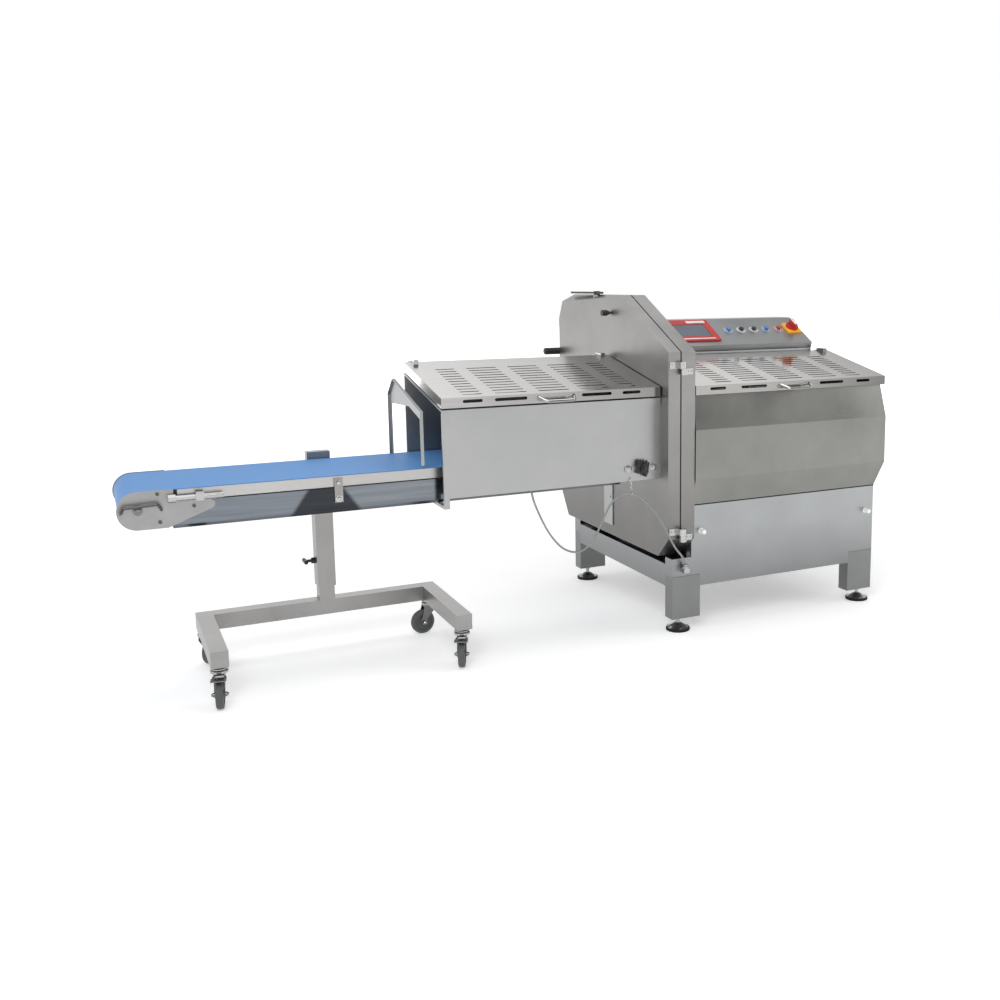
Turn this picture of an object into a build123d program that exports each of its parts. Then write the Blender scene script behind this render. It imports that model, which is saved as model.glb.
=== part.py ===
from build123d import *
import math
import os

# Portion slicer for chops and boneless meat: a cabinet with a slotted infeed lid and a gripper,
# an upright cutting head whose hinged door carries the outfeed tunnel, and a belt conveyor that
# leaves the tunnel and rests on a U-shaped stand with four castors.
# X runs along the machine from the conveyor's tail to the infeed end, Y to the back, Z up.
# The model is laid out from the cabinet's front left corner on the floor, in millimetres, and
# moved at the end so that the origin is on the floor under the middle of the whole machine.

# ---- Driving dimensions --------------------------------------------------------------------
CABINET_LENGTH = 1053.0
CABINET_DEPTH = 976.0
LEG_WIDTH = 134.0
LEG_DEPTH = 62.0
LEG_BOTTOM = 57.0
LEG_TOP = 240.0
PANEL_BOTTOM = 190.0
PANEL_TOP = 541.0
SIDE_RAIL_TOP = 285.0
CLADDING_TIERS = [(541.0, 0.0), (650.0, 32.0), (857.0, 32.0), (1000.0, 11.0)]   # height, bulge
CABINET_TOP = 1000.0
SHEET = 2.5

HEAD_OUTLINE = [(-27, 409), (-27, 1180), (408, 1402), (1000, 1402),
                (1058, 1285), (1058, 455), (970, 325), (58, 325)]                  # y, z
DOOR_X = (-37.0, 18.0)
SEAL_X = (18.0, 24.0)
HEAD_X = (24.0, 88.0)
HEAD_WALL = 4.0
DOOR_HINGE = (21.0, -47.0)                                                      # x, y
BLADE_CENTRE = (515.0, 862.0)                                                   # y, z
BLADE_REACH = 485.0
WINDOW_Y = (44.0, 366.0)
WINDOW_Z = (790.0, 985.0)

LOCK_KNOB_CENTRE = (497.0, 1325.0)                                              # y, z
LEVER_PIVOT = (-8.0, 690.0)                                                     # x, y
LEVER_BASE = 1402.5

LID_SHEET = 2.0
LID_FLANGE = 38.0
INFEED_LID_X = (92.0, 1077.0)
INFEED_LID_FRONT = (-27.0, 1039.0)                                              # y, z
INFEED_LID_BACK = (395.0, 1133.0)
INFEED_LID_HINGE = (408.0, 1126.0)
INFEED_LID_LUGS = (112.0, 1034.0)
OUTFEED_LID_X = (-962.0, -42.0)
OUTFEED_LID_FRONT = (30.0, 1037.0)
OUTFEED_LID_BACK = (520.0, 1140.0)
OUTFEED_LID_HINGE = (534.0, 1133.0)
OUTFEED_LID_LUGS = (-922.0, -82.0)
LID_PIN_RADIUS = 4.0
RUNNING_CLEARANCE = 0.06

TUNNEL_X = (-938.0, -37.0)
TUNNEL_Y = (40.0, 525.0)
TUNNEL_BOTTOM = 658.0
TUNNEL_TOP = (992.0, 1096.0)                                                    # front, back

ROLLER_AXIS_Z = 712.0
TAIL_X = -1997.0
DRIVE_X = -112.0
BELT_INNER_RADIUS = 58.0
BELT_THICKNESS = 3.0
BELT_Y = (95.0, 505.0)
RAIL_Y = (91.0, 509.0)
RAIL_Z = (733.0, 771.0)
RAIL_SHEET = 3.0
RAIL_START = -1890.0
RAIL_END = -45.0
TRAY_BOTTOM = 636.0
END_PLATE = 6.0

POST_CENTRE = (-1318.0, 505.0)
POST_OUTER = 70.0
POST_INNER = 59.8
POST_WALL = 5.0
POST_BOTTOM = 262.0
ARM_X = (POST_CENTRE[0] - 30, POST_CENTRE[0] - 4)
ARM_Z = (680.0, 704.0)
POST_TOP = 600.0
STAND_TUBE = 60.0
STAND_Z = (146.0, 206.0)
STAND_BARS = (-1778.0, -897.0)
STAND_FRONT = 25.0
STAND_BACK = 535.0
CASTOR_RADIUS = 50.0
CASTOR_WIDTH = 26.0
CASTOR_TRAIL = 30.0
CASTOR_LAYOUT = {                       # x, y of the stem, and where the wheel trails, in degrees
    "front_left": (-1778.0, 62.0, -100.0),
    "front_right": (-897.0, 62.0, -112.0),
    "rear_left": (-1778.0, 500.0, 55.0),
    "rear_right": (-897.0, 500.0, 188.0),
}
BRAKED_CASTORS = ("front_left", "front_right")

CONSOLE_X = (92.0, 1000.0)
CONSOLE_BOTTOM_EDGE = (411.0, 1172.0)                                           # y, z
CONSOLE_TOP_EDGE = (600.0, 1284.0)
BUTTON_X = (590.0, 661.0, 732.0, 803.0, 874.0)
BUTTON_RADIUS = 11.0
BUTTON_TRAVEL = 4.0
SWITCH_X = 950.0
SCREEN_X = (228.0, 508.0)
SCREEN_OPENING = (212.0, 96.0)

CABLE_DIAMETER = 8.0
CABLE_ROUTE = [(-600, 66, 690), (-600, 66, 641), (-574, 55, 562), (-531, 47, 471),
               (-470, 41, 401), (-398, 38, 386), (-344, 35, 432), (-305, 32, 512),
               (-264, 29, 590), (-205, 24, 620), (-146, 11, 598), (-93, -18, 536),
               (-53, -42, 456), (-14, -47, 376), (30, -36, 334), (50, -22, 296)]

UNIT = {"x": Vector(1, 0, 0), "y": Vector(0, 1, 0), "z": Vector(0, 0, 1)}


# ---- Building blocks -----------------------------------------------------------------------
def block(x, y, z):
    """A box given by its lowest and highest x, y and z."""
    centre = [(low + high) / 2 for low, high in (x, y, z)]
    return Pos(*centre) * Box(x[1] - x[0], y[1] - y[0], z[1] - z[0])


def at(axis, along, first, second):
    """The point at 'along' on an axis, with the two other coordinates in X, Y, Z order."""
    if axis == "x":
        return (along, first, second)
    if axis == "y":
        return (first, along, second)
    return (first, second, along)


def prism(axis, outline, start, end):
    """An outline in the plane across an axis, carried along the axis from start to end."""
    face = Face(Wire.make_polygon([at(axis, start, a, b) for a, b in outline]))
    return extrude(face, amount=end - start, dir=UNIT[axis])


def rod(axis, centre, start, end, radius):
    """A round bar along an axis."""
    plane = Plane(origin=at(axis, start, *centre), z_dir=UNIT[axis])
    return Solid.make_cylinder(radius, end - start, plane)


def pipe(axis, centre, start, end, outer, inner):
    """A round tube along an axis."""
    return rod(axis, centre, start, end, outer) - rod(axis, centre, start - 1, end + 1, inner)


def box_tube(x, y, z, wall, axis):
    """A rectangular tube, open at both ends of the axis it runs along."""
    ranges = {"x": x, "y": y, "z": z}
    inner = {}
    for name, (low, high) in ranges.items():
        inner[name] = (low - 1, high + 1) if name == axis else (low + wall, high - wall)
    return block(x, y, z) - block(inner["x"], inner["y"], inner["z"])


def inset(outline, distance):
    """A convex outline with every side moved inwards."""
    middle_a = sum(a for a, _ in outline) / len(outline)
    middle_b = sum(b for _, b in outline) / len(outline)
    sides = []
    for (a0, b0), (a1, b1) in zip(outline, outline[1:] + outline[:1]):
        length = math.hypot(a1 - a0, b1 - b0)
        normal_a, normal_b = (b0 - b1) / length, (a1 - a0) / length
        if normal_a * (middle_a - a0) + normal_b * (middle_b - b0) < 0:
            normal_a, normal_b = -normal_a, -normal_b
        sides.append((normal_a, normal_b, normal_a * a0 + normal_b * b0 + distance))
    corners = []
    for (na, nb, nd), (ma, mb, md) in zip(sides[-1:] + sides[:-1], sides):
        scale = na * mb - nb * ma
        corners.append(((nd * mb - nb * md) / scale, (na * md - nd * ma) / scale))
    return corners


def slanted(front, back, y):
    """The height at y of the straight line through two y, z points."""
    return front[1] + (back[1] - front[1]) * (y - front[0]) / (back[0] - front[0])


def group(*shapes):
    """Separate solids kept together in one node."""
    solids = []
    for shape in shapes:
        solids.extend(shape.solids())
    return Compound(solids)


# ---- Cabinet -------------------------------------------------------------------------------
def leg_ranges():
    """The x and y range of each of the four legs."""
    for x in ((0, LEG_WIDTH), (CABINET_LENGTH - LEG_WIDTH, CABINET_LENGTH)):
        for y in ((0, LEG_DEPTH), (CABINET_DEPTH - LEG_DEPTH, CABINET_DEPTH)):
            yield x, y


def base_frame():
    """Four folded legs, four posts and two rings of square tube, welded together."""
    wall = 3.0
    frame = None
    for x, y in leg_ranges():
        leg = block(x, y, (LEG_BOTTOM, LEG_TOP))
        leg -= block((x[0] + wall, x[1] - wall), (y[0] + wall, y[1] - wall), (LEG_BOTTOM + 6, LEG_TOP + 1))
        frame = leg if frame is None else frame + leg
    post_x = ((HEAD_X[1], LEG_WIDTH - wall), (1003, 1043))
    post_y = ((6, 36), (940, 970))
    for x in post_x:
        for y in post_y:
            frame += box_tube(x, y, (LEG_TOP - 40, 990), wall, "z")
            plate_y = (y[0] - 3, y[1] + 3)
            frame += block((x[0], x[1]), plate_y, (LEG_TOP - 44, LEG_TOP - 40))
    for y in post_y:
        frame += box_tube((LEG_WIDTH - wall, 922), y, (196, 236), wall, "x")
        for z in ((700, 740), (955, 985)):
            frame += box_tube((LEG_WIDTH - wall, 1003), y, z, wall, "x")
    for x in ((6, 46), (1007, 1047)):
        frame += box_tube(x, (59, 917), (196, 236), wall, "y")
    for x in ((94, 124), (1008, 1038)):
        frame += box_tube(x, (36, 940), (700, 740), wall, "y")
    return frame


def lower_panels():
    """The front, rear and two side sheets below the cladding."""
    right = CABINET_LENGTH
    long_outline = [(0, LEG_TOP), (LEG_WIDTH, LEG_TOP), (LEG_WIDTH, PANEL_BOTTOM),
                    (right - LEG_WIDTH, PANEL_BOTTOM), (right - LEG_WIDTH, LEG_TOP), (right, LEG_TOP),
                    (right, PANEL_TOP), (90, PANEL_TOP), (90, 318), (0, 318)]
    end_outline = [(2, LEG_TOP), (LEG_DEPTH, LEG_TOP), (LEG_DEPTH, PANEL_BOTTOM),
                   (CABINET_DEPTH - LEG_DEPTH, PANEL_BOTTOM), (CABINET_DEPTH - LEG_DEPTH, LEG_TOP),
                   (CABINET_DEPTH - 2, LEG_TOP), (CABINET_DEPTH - 2, PANEL_TOP), (2, PANEL_TOP)]
    front = prism("y", long_outline, 0, 2)
    rear = prism("y", long_outline, CABINET_DEPTH - 2, CABINET_DEPTH)
    for x in (250, 330, 410, 490, 570, 650, 730, 810):
        rear -= block((x, x + 46), (CABINET_DEPTH - 3, CABINET_DEPTH + 1), (300, 306))
        rear -= block((x, x + 46), (CABINET_DEPTH - 3, CABINET_DEPTH + 1), (322, 328))
    end = prism("x", end_outline, right - 2, right)
    rail_outline = [(2, LEG_TOP), (LEG_DEPTH, LEG_TOP), (LEG_DEPTH, PANEL_BOTTOM),
                    (CABINET_DEPTH - LEG_DEPTH, PANEL_BOTTOM), (CABINET_DEPTH - LEG_DEPTH, LEG_TOP),
                    (CABINET_DEPTH - 2, LEG_TOP), (CABINET_DEPTH - 2, 316), (CABINET_DEPTH - LEG_DEPTH, 316),
                    (CABINET_DEPTH - LEG_DEPTH, SIDE_RAIL_TOP), (LEG_DEPTH, SIDE_RAIL_TOP),
                    (LEG_DEPTH, 316), (2, 316)]
    rail = prism("x", rail_outline, 0, 2)
    rail += block((2, 24), (LEG_DEPTH, CABINET_DEPTH - LEG_DEPTH), (SIDE_RAIL_TOP - 2, SIDE_RAIL_TOP))
    return group(front, rear, end, rail)


def cladding_shell(inwards):
    """The three-tier bulging body, moved inwards by a distance."""
    body = None
    for (low, low_bulge), (high, high_bulge) in zip(CLADDING_TIERS, CLADDING_TIERS[1:]):
        rings = []
        for z, bulge in ((low, low_bulge), (high, high_bulge)):
            out = bulge - inwards
            corners = [(90, -out), (CABINET_LENGTH + out, -out),
                       (CABINET_LENGTH + out, CABINET_DEPTH + out), (90, CABINET_DEPTH + out)]
            rings.append(Wire.make_polygon([(x, y, z) for x, y in corners]))
        tier = Solid.make_loft(rings, ruled=True)
        body = tier if body is None else body + tier
    return body


def cladding():
    """Front, end and rear sheets, mitred where they meet at the right-hand corners."""
    shell = cladding_shell(0) - cladding_shell(SHEET)
    far = 60
    corner_front = (CABINET_LENGTH + far, -far)
    corner_rear = (CABINET_LENGTH + far, CABINET_DEPTH + far)
    inner = 100
    inner_front = (CABINET_LENGTH - inner, inner)
    inner_rear = (CABINET_LENGTH - inner, CABINET_DEPTH - inner)
    zones = {
        "front_cladding": [(80, -far), corner_front, inner_front, (80, inner)],
        "end_cladding": [corner_front, corner_rear, inner_rear, inner_front],
        "rear_cladding": [(80, CABINET_DEPTH + far), (80, CABINET_DEPTH - inner), inner_rear, corner_rear],
    }
    return {name: shell & prism("z", zone, PANEL_TOP, CABINET_TOP) for name, zone in zones.items()}


def top_deck():
    """Sloping deck under the infeed lid, product trough in its opening, and the console's floor."""
    left, right = 90, CABINET_LENGTH + 11
    opening_x, opening_y = (106, 1047), (38, 372)
    low, high = (-11, 1003), (400, 1096)
    strips = [(left, right, -11, opening_y[0]), (left, right, opening_y[1], 400),
              (left, opening_x[0], *opening_y), (opening_x[1], right, *opening_y)]
    parts = []
    for x0, x1, y0, y1 in strips:
        z0, z1 = slanted(low, high, y0), slanted(low, high, y1)
        parts.append(prism("x", [(y0, z0 - 3), (y0, z0), (y1, z1), (y1, z1 - 3)], x0, x1))
    parts.append(block((left, right), (400, 418), (1093, 1096)))
    trough_floor = 786
    for y0, y1 in ((opening_y[0], opening_y[0] + 2), (opening_y[1] - 2, opening_y[1])):
        z0, z1 = slanted(low, high, y0) - 4, slanted(low, high, y1) - 4
        wall = [(y0, trough_floor), (y0, z0), (y1, z1), (y1, trough_floor)]
        parts.append(prism("x", wall, left, opening_x[1]))
    inner_y = (opening_y[0] + 2, opening_y[1] - 2)
    parts.append(block((left, opening_x[1] - 2), inner_y, (trough_floor, trough_floor + 2)))
    end_wall = [(inner_y[0], trough_floor), (inner_y[0], slanted(low, high, inner_y[0]) - 4),
                (inner_y[1], slanted(low, high, inner_y[1]) - 4), (inner_y[1], trough_floor)]
    parts.append(prism("x", end_wall, opening_x[1] - 2, opening_x[1]))
    cheek = [(2, 1000), (400.7, 1090), (418, 1090), (418, 1000)]
    parts.append(prism("x", cheek, right - 3, right))
    parts.append(block((left, right - 3), (415, 418), (1003, 1093)))
    for y0, y1 in ((415, 450), (960, 987)):
        parts.append(block((left, right - 3), (y0, y1), (CABINET_TOP, 1003)))
    return group(*parts)


def leveling_feet():
    """Four screwed feet, each a pad with its stem and lock nut."""
    feet = []
    for x, y in leg_ranges():
        centre = (48 if x[0] == 0 else CABINET_LENGTH - 48, 37 if y[0] == 0 else CABINET_DEPTH - 37)
        pad = rod("z", centre, 0, 9, 50)
        pad += Pos(*centre, 9 + 5) * Cone(49, 34, 10) + Pos(*centre, 19 + 6) * Cone(34, 14, 12)
        stem = rod("z", centre, 24, LEG_BOTTOM, 8)
        nut = extrude(Pos(*centre, LEG_BOTTOM - 9) * RegularPolygon(14, 6), 9)
        feet.append(pad + stem + nut)
    return group(*feet)


# ---- Cutting head --------------------------------------------------------------------------
def cutting_head():
    """The fixed half of the head: a shallow tray round the blade, with the product window."""
    shell = prism("x", HEAD_OUTLINE, *HEAD_X)
    shell -= prism("x", inset(HEAD_OUTLINE, HEAD_WALL), HEAD_X[0] - 1, HEAD_X[1] - HEAD_WALL)
    shell -= block((HEAD_X[1] - 10, HEAD_X[1] + 1), WINDOW_Y, WINDOW_Z)
    shell -= rod("x", BLADE_CENTRE, HEAD_X[1] - 10, HEAD_X[1] + 1, 45)
    return shell


def door_seal():
    """The black profile seal that runs round the head between its two halves."""
    outer = prism("x", inset(HEAD_OUTLINE, 1.5), *SEAL_X)
    return outer - prism("x", inset(HEAD_OUTLINE, 12), SEAL_X[0] - 1, SEAL_X[1] + 1)


def above_door_top(sink):
    """Everything over the door's bevelled top, or over a plane that lies 'sink' below it."""
    front_corner = Vector(DOOR_X[0], 396, 1396)
    back_corner = Vector(DOOR_X[0], 975, 1371)
    far_corner = Vector(DOOR_X[1], 1000, 1400)
    normal = (far_corner - front_corner).cross(back_corner - front_corner)
    if normal.Z < 0:
        normal = normal * -1
    return Plane(origin=front_corner, z_dir=normal) * Pos(0, 0, 100 - sink) * Box(2000, 2000, 200)


def door_shell():
    """The hinged half of the head, open to the blade and to the outfeed tunnel."""
    shell = prism("x", HEAD_OUTLINE, *DOOR_X)
    cavity = prism("x", inset(HEAD_OUTLINE, HEAD_WALL), DOOR_X[0] + 3, DOOR_X[1] + 1)
    shell -= cavity - above_door_top(HEAD_WALL)
    shell -= above_door_top(0)
    shell -= block((DOOR_X[0] - 1, DOOR_X[0] + 10), (46, 519), (662, 985))
    shell -= rod("x", LOCK_KNOB_CENTRE, DOOR_X[0] - 1, DOOR_X[0] + 10, 5 + RUNNING_CLEARANCE)
    shell += rod("z", LEVER_PIVOT, 1385, LEVER_BASE, 17)
    return shell - rod("z", LEVER_PIVOT, 1388, 1410, 7 + RUNNING_CLEARANCE)


def shear_plate():
    """The plastic frame round the product window that the blade shears against."""
    outer = block((56, HEAD_X[1] - HEAD_WALL), (WINDOW_Y[0] - 22, WINDOW_Y[1] + 22), (WINDOW_Z[0] - 22, WINDOW_Z[1] + 22))
    return outer - block((50, 90), WINDOW_Y, WINDOW_Z)


def blade():
    """A sickle blade: its edge spirals out over most of a turn, and its back curves home."""
    steps = 22
    sweep = math.radians(285)
    start = 130.0
    edge = []
    for step in range(steps + 1):
        part = step / steps
        radius = start + (BLADE_REACH - start) * part ** 0.85
        angle = sweep * part
        edge.append((radius * math.cos(angle), radius * math.sin(angle)))
    tip = edge[-1]
    tip_angle = sweep
    back = []
    for part in (0.35, 0.7):
        radius = BLADE_REACH * (1 - part) + start * part * 0.75
        angle = tip_angle + math.radians(52) * part
        back.append((radius * math.cos(angle), radius * math.sin(angle)))
    outline = Spline(*edge) + Spline(tip, *back, edge[0])
    plane = Plane(origin=(50, *BLADE_CENTRE), x_dir=(0, 1, 0), z_dir=(1, 0, 0))
    plate = extrude(plane * make_face(outline), 4)
    plate -= rod("x", BLADE_CENTRE, 40, 60, 22)
    return plate


def blade_hub():
    """Shaft with the clamp flanges on both sides of the blade and its cap screws."""
    hub = rod("x", BLADE_CENTRE, 30, 250, 22 - RUNNING_CLEARANCE)
    hub += rod("x", BLADE_CENTRE, 54, 64, 62)
    hub += rod("x", BLADE_CENTRE, 38, 50, 58)
    hub += rod("x", BLADE_CENTRE, 28, 38, 32)
    for turn in range(6):
        angle = math.radians(60 * turn)
        centre = (BLADE_CENTRE[0] + 45 * math.cos(angle), BLADE_CENTRE[1] + 45 * math.sin(angle))
        hub += rod("x", centre, 33, 38, 7)
    return hub


def blade_bearing():
    """Flanged bearing housing bolted to the back of the head."""
    housing = rod("x", BLADE_CENTRE, 88, 104, 110) + rod("x", BLADE_CENTRE, 104, 200, 72)
    housing -= rod("x", BLADE_CENTRE, 80, 210, 22)
    for turn in range(6):
        angle = math.radians(60 * turn + 30)
        centre = (BLADE_CENTRE[0] + 92 * math.cos(angle), BLADE_CENTRE[1] + 92 * math.sin(angle))
        housing += rod("x", centre, 104, 112, 8)
    return housing


def blade_motor():
    """Finned motor in line with the blade shaft."""
    motor = rod("x", BLADE_CENTRE, 200, 216, 105) + rod("x", BLADE_CENTRE, 216, 500, 84)
    for index in range(16):
        start = 236 + index * 15
        motor += rod("x", BLADE_CENTRE, start, start + 5, 98)
    motor += block((280, 400), (BLADE_CENTRE[0] - 45, BLADE_CENTRE[0] + 45), (BLADE_CENTRE[1] + 70, BLADE_CENTRE[1] + 132))
    motor -= rod("x", BLADE_CENTRE, 190, 252, 24)
    return motor


# ---- Door hinges and fittings --------------------------------------------------------------
KNUCKLE_RADII = (10.0, 15.0)                    # upper and lower hinge
HINGE_PIN_RADIUS = 5.0
UPPER_HINGE = (1088.0, 1113.0, 1140.0)          # frame knuckle bottom, split, door knuckle top
LOWER_HINGE = (402.0, 428.0, 456.0)


def hinge_half(z, side, knuckle_radius):
    """One leaf with its arm and knuckle; side is -1 for the door and 1 for the frame."""
    x, y = DOOR_HINGE
    near, far = (x + side * 9, x + side * 54)
    low, high = sorted((near, far))
    leaf = block((low, high), (-31, -27), z)
    arm_x = sorted((x, x + side * 16))
    arm = block(arm_x, (y - 6, -27), z)
    return leaf + arm + rod("z", (x, y), z[0], z[1], knuckle_radius)


def lid_ears(x, hinge, base_z, base_y):
    """Two upright ears on a foot, with the hinge pin between them."""
    y, z = hinge
    ears = block((x - 20, x + 20), base_y, (base_z, base_z + 4))
    for side in (-1, 1):
        low, high = sorted((x + side * 11, x + side * 19))
        ears += block((low, high), base_y, (base_z, z + 9))
    return ears + rod("x", (y, z), x - 19, x + 19, LID_PIN_RADIUS)


def frame_hinges():
    """The head's fixed hinge leaves with their pins, and the infeed lid's two brackets."""
    parts = []
    for (bottom, split, top), radius in zip((UPPER_HINGE, LOWER_HINGE), KNUCKLE_RADII):
        half = hinge_half((bottom, split - 0.5), 1, radius)
        parts.append(half + rod("z", DOOR_HINGE, split - 1, top + 3, HINGE_PIN_RADIUS))
    for x in INFEED_LID_LUGS:
        parts.append(lid_ears(x, INFEED_LID_HINGE, 1096, (400, 417)))
    return group(*parts)


def door_hinges():
    """The door's hinge leaves, and the outfeed lid's two brackets on the tunnel."""
    parts = []
    for (_, split, top), radius in zip((UPPER_HINGE, LOWER_HINGE), KNUCKLE_RADII):
        half = hinge_half((split, top), -1, radius)
        parts.append(half - rod("z", DOOR_HINGE, split - 1, top + 4, HINGE_PIN_RADIUS + RUNNING_CLEARANCE))
    for x in OUTFEED_LID_LUGS:
        parts.append(lid_ears(x, OUTFEED_LID_HINGE, 1096, (525, 543)))
    return group(*parts)


def door_grip():
    """The black grip behind the door's rear edge, on its bolt and bracket."""
    centre = (1076, 1127)
    grip = rod("x", centre, -112, -24, 17)
    grip = fillet(grip.edges().filter_by(GeomType.CIRCLE), 10)
    return grip + block((-22, -10), (1058, 1090), (1111, 1143)) + rod("x", centre, -30, -12, 7)


def door_lever():
    """The locking lever on top of the head: a flat black bar on a turned boss."""
    x, y = LEVER_PIVOT
    boss = rod("z", LEVER_PIVOT, 1390, LEVER_BASE + 2, 7)
    boss += rod("z", LEVER_PIVOT, LEVER_BASE + 0.3, LEVER_BASE + 16, 15)
    bar_z = (LEVER_BASE + 4, LEVER_BASE + 13)
    bar = block((x - 9, x + 9), (y - 48, y + 268), bar_z)
    bar += rod("z", (x, y + 268), *bar_z, 9) + rod("z", (x, y - 48), *bar_z, 9)
    return boss + bar


def door_knob():
    """The small turned knob high on the door."""
    knob = rod("x", LOCK_KNOB_CENTRE, -78, -54, 13) + rod("x", LOCK_KNOB_CENTRE, -54, -44, 9)
    return knob + rod("x", LOCK_KNOB_CENTRE, -44, -10, 5)


# ---- Lids ----------------------------------------------------------------------------------
def slotted_lid(x, front, back, columns, rows, front_slots, hinge, lugs, tall_lugs):
    """A shallow folded lid with rows of slots, a bail handle and two hinge lugs."""
    (yf, zf), (yb, zb) = front, back
    t = LID_SHEET
    drop = LID_FLANGE
    outer = [(yf, zf - drop), (yf, zf), (yb, zb), (yb, zb - drop)]
    inner = [(yf + t, zf - drop - 1), (yf + t, slanted(front, back, yf + t) - t),
             (yb - t, slanted(front, back, yb - t) - t), (yb - t, zb - drop - 1)]
    lid = prism("x", outer, *x) - prism("x", inner, x[0] + t, x[1] - t)
    tilt = math.degrees(math.atan2(zb - zf, yb - yf))
    length = math.hypot(yb - yf, zb - zf)
    cutters = []
    first_row, pitch, count = rows
    for low, high in columns:
        for row in range(count):
            along = first_row + pitch * row
            place = Location((0, yf, zf), (tilt, 0, 0)) * Pos((low + high) / 2, along, 0)
            cutters.append(place * extrude(SlotOverall(high - low, 9), 8, both=True))
    for low, high in front_slots:
        plane = Plane(origin=((low + high) / 2, yf, zf - 15), x_dir=(1, 0, 0), z_dir=(0, -1, 0))
        cutters.append(extrude(plane * SlotOverall(high - low, 12), 8, both=True))
    lid -= cutters
    y, z = hinge
    for lug_x in lugs:
        rise, reach = (17, 40) if lug_x in tall_lugs else (9, 26)
        lug = block((lug_x - 10, lug_x + 10), (yb - reach, y), (z - 9, z + rise))
        lug += rod("x", hinge, lug_x - 10, lug_x + 10, 9)
        lug -= rod("x", hinge, lug_x - 20, lug_x + 20, LID_PIN_RADIUS + RUNNING_CLEARANCE)
        below = prism("x", [(yb - 80, zb - 80), (yb - 80, slanted(front, back, yb - 80) - 1),
                            (yb, zb - 1), (yb, zb - 80)], lug_x - 30, lug_x + 30)
        lid += lug - below
    assert length > first_row + pitch * (count - 1)
    return lid + lid_handle((x[0] + x[1]) / 2, yf, zf)


def lid_handle(x, y, z):
    """A bent round bar that stands out from the lid's front flange."""
    half, reach, drop, radius = 74, 46, 20, 6.5
    path = FilletPolyline((x - half, y + 1, z - 14), (x - half + 16, y - reach, z - drop - 8),
                          (x + half - 16, y - reach, z - drop - 8), (x + half, y + 1, z - 14), radius=16)
    return sweep(Plane(origin=path @ 0, z_dir=path % 0) * Circle(radius), path=path)


INFEED_COLUMNS = [(160, 240), (292, 422), (474, 604), (656, 786), (838, 918)]
OUTFEED_COLUMNS = [(-870, -790), (-740, -610), (-562, -432), (-384, -254), (-206, -134)]


def infeed_lid():
    columns = [(low + 45, high + 45) for low, high in INFEED_COLUMNS]
    return slotted_lid(INFEED_LID_X, INFEED_LID_FRONT, INFEED_LID_BACK, columns, (38, 29, 11),
                       [(160, 236), (312, 440), (715, 842), (915, 989)], INFEED_LID_HINGE, INFEED_LID_LUGS,
                       INFEED_LID_LUGS[1:])


def outfeed_lid():
    return slotted_lid(OUTFEED_LID_X, OUTFEED_LID_FRONT, OUTFEED_LID_BACK, OUTFEED_COLUMNS, (34, 34, 11),
                       [(-879, -801), (-753, -622), (-393, -263), (-214, -134)],
                       OUTFEED_LID_HINGE, OUTFEED_LID_LUGS, OUTFEED_LID_LUGS)


# ---- Outfeed tunnel ------------------------------------------------------------------------
def outfeed_tunnel():
    """Sheet tunnel on the door: two walls, a flange on the door, an end frame and a rim."""
    front, back = TUNNEL_Y
    wall, flange = 3.0, 3.0
    flange_x = (TUNNEL_X[1] - flange, TUNNEL_X[1])
    wall_x = (TUNNEL_X[0], flange_x[0])
    end_x = (TUNNEL_X[0] - 22, TUNNEL_X[0])
    front_wall = block(wall_x, (front, front + wall), (TUNNEL_BOTTOM, TUNNEL_TOP[0]))
    front_wall += block(wall_x, (front - 6, front), (TUNNEL_TOP[0] - 26, TUNNEL_TOP[0]))
    front_wall += block((-202, -54), (front - 4, front), (699, 719))
    back_wall = block(wall_x, (back - wall, back), (TUNNEL_BOTTOM, TUNNEL_TOP[1]))
    for x in OUTFEED_LID_LUGS:
        back_wall += block((x - 22, x + 22), (back, back + 20), (1084, 1096))
    top_bar = [(front - 6, 984), (back + 6, 1088), (back + 6, 1096), (front - 6, 992)]
    parts = [front_wall, back_wall, prism("x", top_bar, *end_x)]
    for y in ((front - 6, front + 4), (back - 4, back + 6)):
        height = slanted(top_bar[0], top_bar[1], y[0])
        parts.append(block(end_x, y, (631, height - 0.5)))
    parts.append(block(end_x, (front - 6, back + 6), (620, 631)))
    for y in ((front, 46), (519, back)):
        parts.append(block(flange_x, y, (TUNNEL_BOTTOM, 985)))
    parts.append(prism("x", [(front, 985), (back, 1089), (back, 1096), (front, 992)], *flange_x))
    return group(*parts)


def interlock_switch():
    """The safety switch on the tunnel's strap: a body, a screwed cap and a cable boss."""
    body = block((-152, -104), (16, 36), (690, 728))
    body += rod("y", (-128, 709), 8, 16, 15) + rod("y", (-128, 709), 2, 8, 8)
    body += rod("z", (-140, 28), 728, 744, 7) + rod("z", (-116, 28), 676, 690, 7)
    return body


# ---- Conveyor ------------------------------------------------------------------------------
def rail_sides():
    """Where the front and rear rail webs lie, with the direction outwards."""
    return (((RAIL_Y[0], RAIL_Y[0] + RAIL_SHEET), -1), ((RAIL_Y[1] - RAIL_SHEET, RAIL_Y[1]), 1))


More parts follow.
